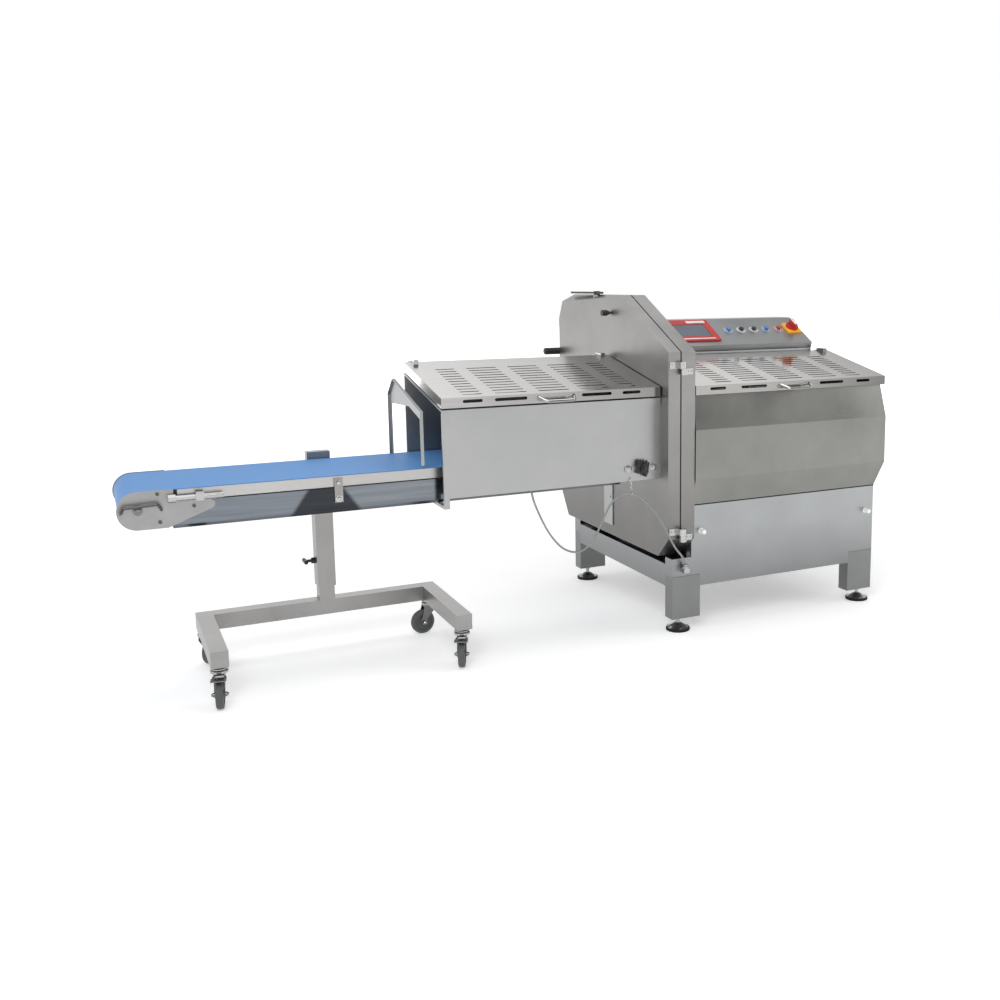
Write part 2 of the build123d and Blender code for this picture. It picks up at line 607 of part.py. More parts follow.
def conveyor_frame():
    """Side rails, slider bed, drive end cheeks and the spacers that hold it in the tunnel."""
    frame = block((-1925, -190), (RAIL_Y[0], RAIL_Y[1]), (766, 770))
    for y, outwards in rail_sides():
        frame += block((RAIL_START, RAIL_END), y, RAIL_Z)
        inner = y[0] if outwards > 0 else y[1]
        lip = sorted((inner, inner - outwards * 9))
        frame += block((RAIL_START, -190), lip, (RAIL_Z[0], RAIL_Z[0] + RAIL_SHEET))
        cheek = block((-186, RAIL_END), y, (648, RAIL_Z[1]))
        frame += cheek - rod("y", (DRIVE_X, ROLLER_AXIS_Z), y[0] - 1, y[1] + 1, 12 + RUNNING_CLEARANCE)
    for x in ((-820, -784), (-260, -224)):
        frame += block(x, (TUNNEL_Y[0] + 3, RAIL_Y[0]), (738, 764))
        frame += block(x, (RAIL_Y[1], TUNNEL_Y[1] - 3), (738, 764))
    return frame


def stadium(radius):
    """The belt's path at a distance from the roller axes, seen from the front."""
    left = Location((TAIL_X, 0, 0))
    right = Location((DRIVE_X, 0, 0))
    middle = Pos((TAIL_X + DRIVE_X) / 2, 0) * Rectangle(DRIVE_X - TAIL_X, 2 * radius)
    return middle + left * Circle(radius) + right * Circle(radius)


def conveyor_belt():
    """Endless belt round both rollers."""
    loop = stadium(BELT_INNER_RADIUS + BELT_THICKNESS) - stadium(BELT_INNER_RADIUS)
    plane = Plane(origin=(0, BELT_Y[1], ROLLER_AXIS_Z), x_dir=(1, 0, 0), z_dir=(0, -1, 0))
    return extrude(plane * loop, BELT_Y[1] - BELT_Y[0])


def roller(x, shaft_radius, shaft_y):
    """A tube on two pierced end discs, with its through shaft."""
    centre = (x, ROLLER_AXIS_Z)
    body = rod("y", centre, 103, 497, BELT_INNER_RADIUS - 0.3)
    body = chamfer(body.edges().filter_by(GeomType.CIRCLE), 2)
    for y in ((102, 108), (118, 482), (492, 498)):
        body -= pipe("y", centre, *y, 52, 24)
    for turn in range(5):
        angle = math.radians(72 * turn)
        body -= rod("y", (x + 38 * math.cos(angle), ROLLER_AXIS_Z + 38 * math.sin(angle)), 100, 500, 8)
    return body + rod("y", centre, shaft_y[0], shaft_y[1], shaft_radius)


def drive_drum():
    return roller(DRIVE_X, 12, (89, 511))


def tail_roller():
    axle = roller(TAIL_X, 10, (76, 524))
    for y in ((76, 84), (516, 524)):
        axle += extrude(Plane(origin=(TAIL_X, y[0], ROLLER_AXIS_Z), z_dir=(0, 1, 0)) * RegularPolygon(14, 6), 8)
    return axle


def conveyor_tray():
    """Drip tray under the return run, with holes for the stand's support arm."""
    t = 2.0
    y0, y1 = RAIL_Y[0] + 1, RAIL_Y[1] - 1
    fold = 13
    outer = [(y0, RAIL_Z[0]), (y0, TRAY_BOTTOM + fold), (y0 + fold, TRAY_BOTTOM),
             (y1 - fold, TRAY_BOTTOM), (y1, TRAY_BOTTOM + fold), (y1, RAIL_Z[0])]
    inner = [(y0 + t, RAIL_Z[0] + 1), (y0 + t, TRAY_BOTTOM + fold + 1), (y0 + fold + 1, TRAY_BOTTOM + t),
             (y1 - fold - 1, TRAY_BOTTOM + t), (y1 - t, TRAY_BOTTOM + fold + 1), (y1 - t, RAIL_Z[0] + 1)]
    tray = prism("x", outer, RAIL_START, -192) - prism("x", inner, RAIL_START - 1, -191)
    return tray - block((ARM_X[0] - 1.5, ARM_X[1] + 1.5), (60, 540), (ARM_Z[0] - 1.5, ARM_Z[1] + 1.5))


def end_plate_outline():
    """Tail end plate: round nose on the roller's axis, straight top, tapering to a point."""
    radius, middle_z = 65.0, ROLLER_AXIS_Z - 3
    nose = []
    for step in range(13):
        angle = math.radians(90 + 15 * step)
        nose.append((TAIL_X + radius * math.cos(angle), middle_z + radius * math.sin(angle)))
    tail = [(-1906, middle_z - radius), (-1764, 699), (-1755, 706), (-1754, 722),
            (-1766, 731), (-1884, 731), (-1884, middle_z + radius)]
    return nose, tail


def end_plates():
    """Both tail end plates, each with its wire handle and screws."""
    nose, tail = end_plate_outline()
    arc = ThreePointArc(nose[0], nose[6], nose[12])
    rest = Polyline(nose[12], *tail, nose[0])
    face = make_face(arc + rest)
    plates = []
    for y, outwards in ((RAIL_Y[0] - END_PLATE, -1), (RAIL_Y[1], 1)):
        plane = Plane(origin=(0, y + END_PLATE, 0), x_dir=(1, 0, 0), z_dir=(0, -1, 0))
        plate = extrude(plane * face, END_PLATE)
        plate -= rod("y", (TAIL_X, ROLLER_AXIS_Z), y - 1, y + END_PLATE + 1, 10 + RUNNING_CLEARANCE)
        outside = y if outwards < 0 else y + END_PLATE
        for x, z in ((-1934, 762), (-1822, 712), (-1931, 666)):
            head = sorted((outside, outside + outwards * 4))
            plate += rod("y", (x, z), head[0], head[1], 6)
        plate += end_handle(outside, outwards)
        plates.append(plate)
    return group(*plates)


def end_handle(outside, outwards):
    """Bent wire handle across the end plate."""
    reach = outside + outwards * 26
    path = FilletPolyline((-2050, outside - outwards, 704), (-2048, reach, 712), (-2040, reach, 727),
                          (-1936, reach, 731), (-1926, reach, 716), (-1924, outside - outwards, 706), radius=6)
    return sweep(Plane(origin=path @ 0, z_dir=path % 0) * Circle(4.5), path=path)


def belt_tensioners():
    """On each side a screw in a threaded block, a square nut block and a guide tube."""
    parts = []
    for near, far in ((60, RAIL_Y[0] - END_PLATE), (540, RAIL_Y[1] + END_PLATE)):
        low, high = sorted((near, far))
        axis_y = (low + high) / 2
        screw = extrude(Plane(origin=(-1903, axis_y, 744), z_dir=(1, 0, 0)) * RegularPolygon(14, 6), 24)
        screw += extrude(Plane(origin=(-1879, axis_y, 744), z_dir=(1, 0, 0)) * RegularPolygon(9, 6), 64)
        screw += block((-1816, -1790), (low + 1, high - 1), (732, 762))
        tube = rod("x", (axis_y, 744), -1790, -1728, 10)
        bracket_y = (axis_y, RAIL_Y[0]) if far > near else (RAIL_Y[1], axis_y)
        tube += block((-1880, -1728), bracket_y, (734, 738))
        parts.append(screw + tube)
    return group(*parts)


def exit_gate():
    """Arch over the belt in front of the tunnel, folded from sheet, held by the rear rail."""
    outer = [(75, 786), (75, 988), (452, 1082), (531, 1015), (531, 740), (509, 740),
             (509, 974), (492, 979), (250, 990), (112, 957), (97, 944), (97, 786)]
    gate = prism("x", outer, -1022, -1019)
    rim = [(75, 786), (75, 988), (452, 1082), (531, 1015), (531, 740), (528, 740),
           (528, 1013.5), (451, 1078.5), (78, 985.5), (78, 786)]
    return gate + prism("x", rim, -1031, -1019)


# ---- Stand ---------------------------------------------------------------------------------
def conveyor_upright():
    """Outer post with its head plate, rear upright, support arm and front link plate."""
    x, y = POST_CENTRE
    half = POST_OUTER / 2
    upright = box_tube((x - half, x + half), (y - half, y + half), (POST_BOTTOM, POST_TOP), POST_WALL, "z")
    upright -= rod("x", (y, 365), x - half - 1, x, 6)
    upright += block((x - 46, x + 44), (460, 562), (POST_TOP, POST_TOP + 6))
    upright += block((x - 46, x + 44), (518, 562), (POST_TOP + 6, 800))
    upright += block(ARM_X, (88, 518), ARM_Z)
    upright += block((x - 30, x + 10), (RAIL_Y[1], 518), (738, 766))
    upright += block((ARM_X[0] - 2, ARM_X[1] + 2), (84, 88), (676, 764))
    upright += block(ARM_X, (88, RAIL_Y[0]), (738, 764))
    for z in (751, 692):
        upright += rod("y", (x - 17, z), 80, 84, 7)
    return upright


def clamp_lever():
    """The black T-handle that clamps the telescopic post."""
    x = POST_CENTRE[0] - POST_OUTER / 2
    y, z = POST_CENTRE[1], 365
    lever = rod("x", (y, z), x - 16, x - 0.3, 12) + rod("x", (y, z), x - 36, x - 16, 6)
    lever += rod("x", (y, z), x - 1, x + 4, 6 - RUNNING_CLEARANCE)
    lever += rod("y", (x - 40, z), y - 24, y + 24, 8)
    return lever + Pos(x - 40, y - 24, z) * Sphere(8) + Pos(x - 40, y + 24, z) * Sphere(8)


def stand_frame():
    """U-shaped floor frame with the inner post; every tube end is capped."""
    half = STAND_TUBE / 2
    x, y = POST_CENTRE
    inner = POST_INNER / 2
    frame = None
    for bar in STAND_BARS:
        tube = block((bar - half, bar + half), (STAND_FRONT, STAND_BACK), STAND_Z)
        hollow_y = (STAND_FRONT + 3, STAND_BACK - 3)
        tube -= block((bar - half + 3, bar + half - 3), hollow_y, (STAND_Z[0] + 3, STAND_Z[1] - 3))
        frame = tube if frame is None else frame + tube
    crossbar_x = (STAND_BARS[0] + half, STAND_BARS[1] - half)
    frame += box_tube(crossbar_x, (STAND_BACK - STAND_TUBE, STAND_BACK), STAND_Z, 3, "x")
    frame += box_tube((x - inner, x + inner), (y - inner, y + inner), (STAND_Z[1], 545), 4, "z")
    for stem_x, stem_y, _ in CASTOR_LAYOUT.values():
        frame += block((stem_x - 26, stem_x + 26), (stem_y - 26, stem_y + 26), (STAND_Z[0] - 4, STAND_Z[0]))
        frame += rod("z", (stem_x, stem_y), 122, STAND_Z[0] - 4, 8)
    return frame


PEDAL_PIVOT = (CASTOR_TRAIL - 8, 108.0)                                         # x, z before turning
PEDAL_PIN_RADIUS = 3.0


def turned(shape, name):
    """A castor part drawn at the origin, trailing to +X, moved to its stem."""
    x, y, heading = CASTOR_LAYOUT[name]
    return Location((x, y, 0), (0, 0, heading)) * shape


def castor_fork(name):
    """Swivel head and two fork legs with the axle bolt."""
    gap = CASTOR_WIDTH / 2 + 2
    head = rod("z", (0, 0), 118, 141, 26)
    head = fillet(head.edges().filter_by(GeomType.CIRCLE), 4)
    head -= rod("z", (0, 0), 117, 142, 8 + RUNNING_CLEARANCE)
    leg_outline = [(-24, 120), (24, 120), (CASTOR_TRAIL + 12, 58), (CASTOR_TRAIL + 10, 40),
                   (CASTOR_TRAIL - 10, 40), (CASTOR_TRAIL - 14, 62), (-24, 106)]
    fork = head + block((-24, 24), (-gap - 3, gap + 3), (114, 120))
    fork -= rod("z", (0, 0), 110, 142, 8 + RUNNING_CLEARANCE)
    for side in (-1, 1):
        y = sorted((side * gap, side * (gap + 3)))
        leg = prism("y", leg_outline, *y)
        bolt_y = sorted((side * (gap + 3), side * (gap + 9)))
        fork += leg + rod("y", (CASTOR_TRAIL, CASTOR_RADIUS), *bolt_y, 8)
    fork += rod("y", (CASTOR_TRAIL, CASTOR_RADIUS), -gap, gap, 5)
    if name in BRAKED_CASTORS:
        fork += rod("y", PEDAL_PIVOT, -gap - 9, gap + 9, PEDAL_PIN_RADIUS)
    return turned(fork, name)


def castor_wheel(name):
    """Rubber tread on a hub, bored for the axle."""
    half = CASTOR_WIDTH / 2
    centre = (CASTOR_TRAIL, CASTOR_RADIUS)
    tread = rod("y", centre, -half, half, CASTOR_RADIUS)
    tread = fillet(tread.edges().filter_by(GeomType.CIRCLE), 7)
    for y in ((-half - 1, -half + 4), (half - 4, half + 1)):
        tread -= pipe("y", centre, *y, 36, 14)
    tread -= rod("y", centre, -half - 1, half + 1, 5 + RUNNING_CLEARANCE)
    return turned(tread, name)


def brake_pedal(name):
    """Tread plate over the wheel with two arms to its pivot on the fork."""
    gap = CASTOR_WIDTH / 2 + 6
    x, z = PEDAL_PIVOT
    pedal = block((x + 18, x + 50), (-26, 26), (z + 1, z + 5))
    for side in (-1, 1):
        y = sorted((side * gap, side * (gap + 3)))
        pedal += prism("y", [(x - 7, z - 7), (x + 7, z - 7), (x + 34, z + 1), (x + 34, z + 5), (x - 7, z + 5)], *y)
    pedal -= rod("y", PEDAL_PIVOT, -gap - 9, gap + 9, PEDAL_PIN_RADIUS + RUNNING_CLEARANCE)
    return turned(pedal, name)


# ---- Console -------------------------------------------------------------------------------
def console_plane(x, along):
    """A plane on the sloping panel; 'along' runs up the slope from its bottom edge."""
    (y0, z0), (y1, z1) = CONSOLE_BOTTOM_EDGE, CONSOLE_TOP_EDGE
    length = math.hypot(y1 - y0, z1 - z0)
    origin = (x, y0 + (y1 - y0) * along / length, z0 + (z1 - z0) * along / length)
    return Plane(origin=origin, x_dir=(1, 0, 0), z_dir=(0, -(z1 - z0), y1 - y0))


CONTROL_LINE = 119.0


def console_housing():
    """Sloping control box with its hood, open underneath, drilled for the controls."""
    outline = [(420, 1003), (420, 1144), CONSOLE_BOTTOM_EDGE, CONSOLE_TOP_EDGE, (700, 1284), (985, 1080), (985, 1003)]
    inner = [(420 + SHEET, 1000), (420 + SHEET, 1144), (414.5, 1171), (601, 1281.5), (699, 1281.5),
             (982.5, 1078.5), (982.5, 1000)]
    housing = prism("x", outline, *CONSOLE_X) - prism("x", inner, CONSOLE_X[0] + SHEET, CONSOLE_X[1] - SHEET)
    for x in BUTTON_X:
        housing -= extrude(console_plane(x, CONTROL_LINE) * Circle(13), 10, both=True)
    housing -= extrude(console_plane(SWITCH_X, CONTROL_LINE) * Circle(13), 10, both=True)
    for index in range(9):
        x = 250 + 70 * index
        for z in (1094, 1120, 1146):
            y = 985 - (z - 1080) * (985 - 700) / (1284 - 1080)
            housing -= block((x, x + 48), (y - 12, y + 12), (z, z + 6))
    return housing


def screen_bezel():
    """Red frame of the operator panel."""
    x = (SCREEN_X[0] + SCREEN_X[1]) / 2
    plane = console_plane(x, CONTROL_LINE)
    frame = extrude(plane * RectangleRounded(SCREEN_X[1] - SCREEN_X[0], 171, 5), 7)
    return frame - extrude(plane * RectangleRounded(SCREEN_OPENING[0], SCREEN_OPENING[1], 3), 20, both=True)


def touch_screen():
    """Screen that fills the red frame's opening."""
    x = (SCREEN_X[0] + SCREEN_X[1]) / 2
    return extrude(console_plane(x, CONTROL_LINE) * RectangleRounded(SCREEN_OPENING[0], SCREEN_OPENING[1], 3), 5)


def button_rings():
    """Collars of the five push-buttons."""
    rings = []
    for x in BUTTON_X:
        plane = console_plane(x, CONTROL_LINE)
        ring = extrude(plane * Circle(17), 6)
        ring = chamfer(ring.edges().filter_by(GeomType.CIRCLE).sort_by(Axis.Z)[-1], 1.5)
        rings.append(ring - extrude(plane * Circle(BUTTON_RADIUS + RUNNING_CLEARANCE), 20, both=True))
    return group(*rings)


def push_button(index):
    """A round button with its stem."""
    plane = console_plane(BUTTON_X[index], CONTROL_LINE)
    cap = extrude(Plane(origin=plane.origin, x_dir=plane.x_dir, z_dir=-plane.z_dir) * Circle(BUTTON_RADIUS), 14)
    return cap + extrude(plane * Circle(BUTTON_RADIUS), 12)


def switch_plate():
    """Yellow base of the main switch."""
    plane = console_plane(SWITCH_X, CONTROL_LINE)
    return extrude(plane * RectangleRounded(78, 78, 8), 9) - extrude(plane * Circle(8 + RUNNING_CLEARANCE), 30, both=True)


def switch_knob():
    """Red rotary handle of the main switch, with its spindle."""
    plane = console_plane(SWITCH_X, CONTROL_LINE)
    raised = Plane(origin=plane.origin + plane.z_dir * 9.3, x_dir=plane.x_dir, z_dir=plane.z_dir)
    knob = extrude(raised * Circle(31), 9)
    knob += extrude(raised * RectangleRounded(20, 58, 8), 30)
    return knob + extrude(Plane(origin=plane.origin, x_dir=plane.x_dir, z_dir=-plane.z_dir) * Circle(8), 12) \
        + extrude(plane * Circle(8), 10)


# ---- Product feed --------------------------------------------------------------------------
FEED_ROD_Y = 345.0
FEED_ROD_Z = (925.0, 975.0)
FEED_ROD_RADIUS = 12.0


def feed_rods():
    """Two guide rods between end blocks, along the back of the trough."""
    parts = []
    for x in ((92, 112), (1021, 1045)):
        parts.append(block(x, (324, 370), (905, 996)))
    for z in FEED_ROD_Z:
        parts.append(rod("x", (FEED_ROD_Y, z), 112, 1021, FEED_ROD_RADIUS))
    return group(*parts)


def feed_gripper():
    """Pusher plate with claws, on a carriage that runs on the guide rods."""
    carriage = block((942, 1014), (326, 366), (900, 998))
    for z in FEED_ROD_Z:
        carriage -= rod("x", (FEED_ROD_Y, z), 900, 1060, FEED_ROD_RADIUS + RUNNING_CLEARANCE)
    pusher = block((934, 946), (60, 330), (800, 968))
    brace = prism("y", [(946, 960), (1000, 960), (1000, 930), (946, 850)], 300, 330)
    claws = None
    for y in (100, 150, 200, 250, 300):
        claw = prism("y", [(934, 840), (934, 862), (912, 846), (906, 836)], y - 3, y + 3)
        claws = claw if claws is None else claws + claw
    return carriage + pusher + brace + claws


# ---- Cable ---------------------------------------------------------------------------------
def cable_gland():
    """Chrome elbow on the front left leg that takes the cable from above."""
    x, y, z = CABLE_ROUTE[-1]
    gland = block((x - 13, x + 13), (y - 12, 0), (262, 280))
    gland += extrude(Pos(x, y, 280) * RegularPolygon(14, 6), 8) + rod("z", (x, y), 288, z, 9)
    return gland


def conveyor_cable_socket():
    """Cable outlet on the conveyor's front rail, hidden behind the tunnel wall."""
    x, y, z = CABLE_ROUTE[0]
    return block((x - 16, x + 16), (y - 12, RAIL_Y[0]), (z + 14, 764)) + rod("z", (x, y), z, z + 14, 10)


def corner_radii(points):
    """The arc at each corner: 0.45 of the shorter run over the tangent of half the turn."""
    radii = []
    for before, corner, after in zip(points, points[1:], points[2:]):
        run_in = Vector(*corner) - Vector(*before)
        run_out = Vector(*after) - Vector(*corner)
        half_turn = math.radians(run_in.get_angle(run_out)) / 2
        radii.append(0.45 * min(run_in.length, run_out.length) / math.tan(half_turn))
    return radii


def connection_cable():
    """Free-hanging cable from the conveyor's drive to the cabinet."""
    radii = corner_radii(CABLE_ROUTE)
    path = FilletPolyline(*CABLE_ROUTE, radius=radii)
    cable = sweep(Plane(origin=path @ 0, z_dir=path % 0) * Circle(CABLE_DIAMETER / 2), path=path)
    section = math.pi * (CABLE_DIAMETER / 2) ** 2
    print("cable radii, mm:", [round(radius) for radius in radii])
    print("cable length, mm:", round(path.length), "volume ratio:", round(cable.volume / section / path.length, 4))
    return cable


# ---- Assembly ------------------------------------------------------------------------------
def build_nodes():
    """Every node of the machine, by name."""
    nodes = {
        "base_frame": base_frame(),
        "lower_panels": lower_panels(),
        "top_deck": top_deck(),
        "leveling_feet": leveling_feet(),
        "cutting_head": cutting_head(),
        "door_seal": door_seal(),
        "shear_plate": shear_plate(),
        "blade_bearing": blade_bearing(),
        "blade_motor": blade_motor(),
        "console_housing": console_housing(),
        "screen_bezel": screen_bezel(),
        "touch_screen": touch_screen(),
        "button_rings": button_rings(),
        "switch_plate": switch_plate(),
        "feed_rods": feed_rods(),
        "cable_gland": cable_gland(),
        "connection_cable": connection_cable(),
        "frame_hinges": frame_hinges(),
        "door_shell": door_shell(),
        "door_hinges": door_hinges(),
        "door_grip": door_grip(),
        "outfeed_tunnel": outfeed_tunnel(),
        "interlock_switch": interlock_switch(),
        "conveyor_frame": group(conveyor_frame(), conveyor_cable_socket()),
        "conveyor_belt": conveyor_belt(),
        "conveyor_tray": conveyor_tray(),
        "end_plates": end_plates(),
        "belt_tensioners": belt_tensioners(),
        "exit_gate": exit_gate(),
        "conveyor_upright": conveyor_upright(),
        "blade": blade(),
        "blade_hub": blade_hub(),
        "infeed_lid": infeed_lid(),
        "outfeed_lid": outfeed_lid(),
        "feed_gripper": feed_gripper(),
        "drive_drum": drive_drum(),
        "tail_roller": tail_roller(),
        "door_lever": door_lever(),
        "door_knob": door_knob(),
        "clamp_lever": clamp_lever(),
        "stand_frame": stand_frame(),
        "switch_knob": switch_knob(),
    }
    nodes.update(cladding())
    for name in CASTOR_LAYOUT:
        nodes["fork_" + name] = castor_fork(name)
        nodes["wheel_" + name] = castor_wheel(name)
    for name in BRAKED_CASTORS:
        nodes["pedal_" + name] = brake_pedal(name)
    for index in range(len(BUTTON_X)):
        nodes["button_" + str(index + 1)] = push_button(index)
    return nodes


def floor_shift(nodes):
    """The move that puts the origin under the middle of the machine's box."""
    boxes = [shape.bounding_box() for name, shape in nodes.items() if name != "connection_cable"]
    low_x, high_x = min(box.min.X for box in boxes), max(box.max.X for box in boxes)
    low_y, high_y = min(box.min.Y for box in boxes), max(box.max.Y for box in boxes)
    return Location((-(low_x + high_x) / 2, -(low_y + high_y) / 2, 0))


def main():
    os.makedirs("parts", exist_ok=True)
    nodes = build_nodes()
    shift = floor_shift(nodes)
    print("shift, mm:", [round(value, 4) for value in shift.position])
    for name, shape in nodes.items():
        export_step(shift * shape, "parts/" + name + ".step")
    print(len(nodes), "nodes")


if __name__ == "__main__":
    main()
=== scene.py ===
import math

import bmesh
import bpy
from mathutils import Matrix, Vector


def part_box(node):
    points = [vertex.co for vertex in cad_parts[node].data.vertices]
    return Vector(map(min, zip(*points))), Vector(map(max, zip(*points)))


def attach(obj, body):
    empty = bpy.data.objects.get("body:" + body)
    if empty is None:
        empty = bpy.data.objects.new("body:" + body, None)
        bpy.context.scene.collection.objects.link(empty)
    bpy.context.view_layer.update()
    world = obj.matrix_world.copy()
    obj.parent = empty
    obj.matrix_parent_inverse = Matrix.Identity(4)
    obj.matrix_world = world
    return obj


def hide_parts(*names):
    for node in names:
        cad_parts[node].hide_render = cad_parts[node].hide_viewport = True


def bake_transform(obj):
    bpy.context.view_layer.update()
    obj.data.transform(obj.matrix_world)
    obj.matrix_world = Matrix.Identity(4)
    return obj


# The look of the portion slicer: camera, studio, cable, materials and the small parts that the
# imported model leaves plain. Places are given in millimetres from the cabinet's front left corner
# on the floor, X along the machine, Y to the back and Z up, as place() turns into the shared frame.

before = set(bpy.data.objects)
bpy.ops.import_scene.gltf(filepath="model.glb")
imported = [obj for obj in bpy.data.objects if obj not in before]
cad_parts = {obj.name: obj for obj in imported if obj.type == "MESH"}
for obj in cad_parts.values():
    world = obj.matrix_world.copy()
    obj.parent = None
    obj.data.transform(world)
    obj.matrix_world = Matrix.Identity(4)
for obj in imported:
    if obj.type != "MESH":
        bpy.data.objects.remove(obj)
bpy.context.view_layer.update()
cabinet_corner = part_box("base_frame")[0]


def place(x, y, z):
    """A point of the machine in the shared frame, in metres."""
    return Vector((cabinet_corner[0] + x / 1000, cabinet_corner[1] + y / 1000, z / 1000))


# ---- Camera --------------------------------------------------------------------------------
CAMERA_AT = (-2124.2, -3720.1, 1450.0)
CAMERA_YAW = 26.943          # degrees from +Y towards +X
CAMERA_PITCH = 8.797         # degrees below the horizon
CAMERA_ROLL = -0.239


def make_camera():
    data = bpy.data.cameras.new("camera")
    data.lens = 38.15
    data.sensor_width = 36.0
    data.shift_x = -0.122
    data.shift_y = -0.052
    data.clip_end = 100.0
    camera = bpy.data.objects.new("camera", data)
    turn = Matrix.Rotation(math.radians(-CAMERA_YAW), 4, "Z")
    turn = turn @ Matrix.Rotation(math.radians(90 - CAMERA_PITCH), 4, "X")
    turn = turn @ Matrix.Rotation(math.radians(CAMERA_ROLL), 4, "Z")
    camera.matrix_world = Matrix.Translation(place(*CAMERA_AT)) @ turn
    bpy.context.scene.collection.objects.link(camera)
    bpy.context.scene.camera = camera


# ---- Node helpers --------------------------------------------------------------------------
def new_material(name):
    """An empty node material: (material, node tree, shader)."""
    material = bpy.data.materials.new(name)
    material.use_nodes = True
    tree = material.node_tree
    return material, tree, tree.nodes["Principled BSDF"]


def coordinates(tree, scale=(1, 1, 1)):
    """Coordinates in metres, stretched along the three axes."""
    source = tree.nodes.new("ShaderNodeTexCoord")
    mapping = tree.nodes.new("ShaderNodeMapping")
    mapping.inputs["Scale"].default_value = scale
    tree.links.new(source.outputs["Object"], mapping.inputs["Vector"])
    return mapping.outputs["Vector"]


def noise(tree, vector, scale, detail=3.0, roughness=0.55):
    """Noise from 0 to 1."""
    texture = tree.nodes.new("ShaderNodeTexNoise")
    texture.inputs["Scale"].default_value = scale
    texture.inputs["Detail"].default_value = detail
    texture.inputs["Roughness"].default_value = roughness
    tree.links.new(vector, texture.inputs["Vector"])
    return texture.outputs["Fac"]


def spread(tree, value, low, high, start=0.3, end=0.7):
    """A value between start and end spread over low to high."""
    remap = tree.nodes.new("ShaderNodeMapRange")
    remap.inputs["From Min"].default_value = start
    remap.inputs["From Max"].default_value = end
    remap.inputs["To Min"].default_value = low
    remap.inputs["To Max"].default_value = high
    tree.links.new(value, remap.inputs["Value"])
    return remap.outputs["Result"]


def blend_colours(tree, factor, first, second):
    """A colour between two colours."""
    mix = tree.nodes.new("ShaderNodeMix")
    mix.data_type = "RGBA"
    tree.links.new(factor, mix.inputs["Factor"])
    for socket, colour in ((mix.inputs[6], first), (mix.inputs[7], second)):
        if isinstance(colour, bpy.types.NodeSocket):
            tree.links.new(colour, socket)
        else:
            socket.default_value = (*colour, 1)
    return mix.outputs[2]


def bump(tree, shader, height, strength, distance=0.0005):
    """Fine relief on a shader's normal."""
    relief = tree.nodes.new("ShaderNodeBump")
    relief.inputs["Strength"].default_value = strength
    relief.inputs["Distance"].default_value = distance
    tree.links.new(height, relief.inputs["Height"])
    tree.links.new(relief.outputs["Normal"], shader.inputs["Normal"])


def along_axis(tree, axis):
    """A coordinate in metres, in the shared frame."""
    source = tree.nodes.new("ShaderNodeTexCoord")
    parts = tree.nodes.new("ShaderNodeSeparateXYZ")
    tree.links.new(source.outputs["Object"], parts.inputs["Vector"])
    return parts.outputs[axis]


def face_painted_light(tree, axis, low, high, start, end):
    """A painted tone, standing in for light and shade, that depends on which way a face looks along an axis
    of the shared frame.
    """
    source = tree.nodes.new("ShaderNodeTexCoord")
    parts = tree.nodes.new("ShaderNodeSeparateXYZ")
    tree.links.new(source.outputs["Normal"], parts.inputs["Vector"])
    return spread(tree, parts.outputs[axis], low, high, start, end)


def compute(tree, operation, first, second=None):
    """A sum on a value: second is a number, another value or nothing."""
    step = tree.nodes.new("ShaderNodeMath")
    step.operation = operation
    tree.links.new(first, step.inputs[0])
    if isinstance(second, bpy.types.NodeSocket):
        tree.links.new(second, step.inputs[1])
    elif second is not None:
        step.inputs[1].default_value = second
    return step.outputs[0]


def distance_from(tree, axis, middle):
    """How far a point is from a place along an axis, in metres."""
    return compute(tree, "ABSOLUTE", compute(tree, "SUBTRACT", along_axis(tree, axis), middle))


def shade_by(tree, colour, factor):
    """A colour multiplied by a grey factor."""
    mix = tree.nodes.new("ShaderNodeMix")
    mix.data_type = "RGBA"
    mix.blend_type = "MULTIPLY"
    mix.inputs["Factor"].default_value = 1.0
    tree.links.new(colour, mix.inputs[6])
    tree.links.new(factor, mix.inputs[7])
    return mix.outputs[2]


# ---- Materials -----------------------------------------------------------------------------
def blasted_steel(name, dark, light, roughness, grain=0.06, painted_floor_shade=1.0, painted_shade_heights=(0.2, 1.2),
                  painted_top_highlight=1.0):
    """Bead-blasted stainless sheet: a fine even grain and faint clouds, with painted shade that darkens it
    towards the floor and, when asked, a painted highlight on faces that look up.
    """
    material, tree, shader = new_material(name)
    shader.inputs["Metallic"].default_value = 1.0
    vector = coordinates(tree)
    cloud = noise(tree, vector, 3.2, 4.0)
    speck = noise(tree, vector, 900.0, 2.0)
    base = blend_colours(tree, spread(tree, cloud, 0, 1), dark, light)
    speckled = blend_colours(tree, spread(tree, speck, 0.0, 0.12), base, (0.8, 0.8, 0.8))
    # Painted shade: the colour darkens towards the floor, down to the low tone below the lower height.
    painted_tone = spread(tree, along_axis(tree, "Z"), painted_floor_shade, 1.0, *painted_shade_heights)
    with_painted_light = shade_by(tree, speckled, painted_tone)
    # Painted highlight: faces that look up are lightened by the top tone.
    if painted_top_highlight != 1.0:
        with_painted_light = shade_by(tree, with_painted_light, face_painted_light(tree, "Z", 1.0, painted_top_highlight, 0.6, 0.9))
    tree.links.new(with_painted_light, shader.inputs["Base Color"])
    tree.links.new(spread(tree, cloud, roughness - 0.05, roughness + 0.06), shader.inputs["Roughness"])
    bump(tree, shader, speck, grain, 0.0003)
    return material


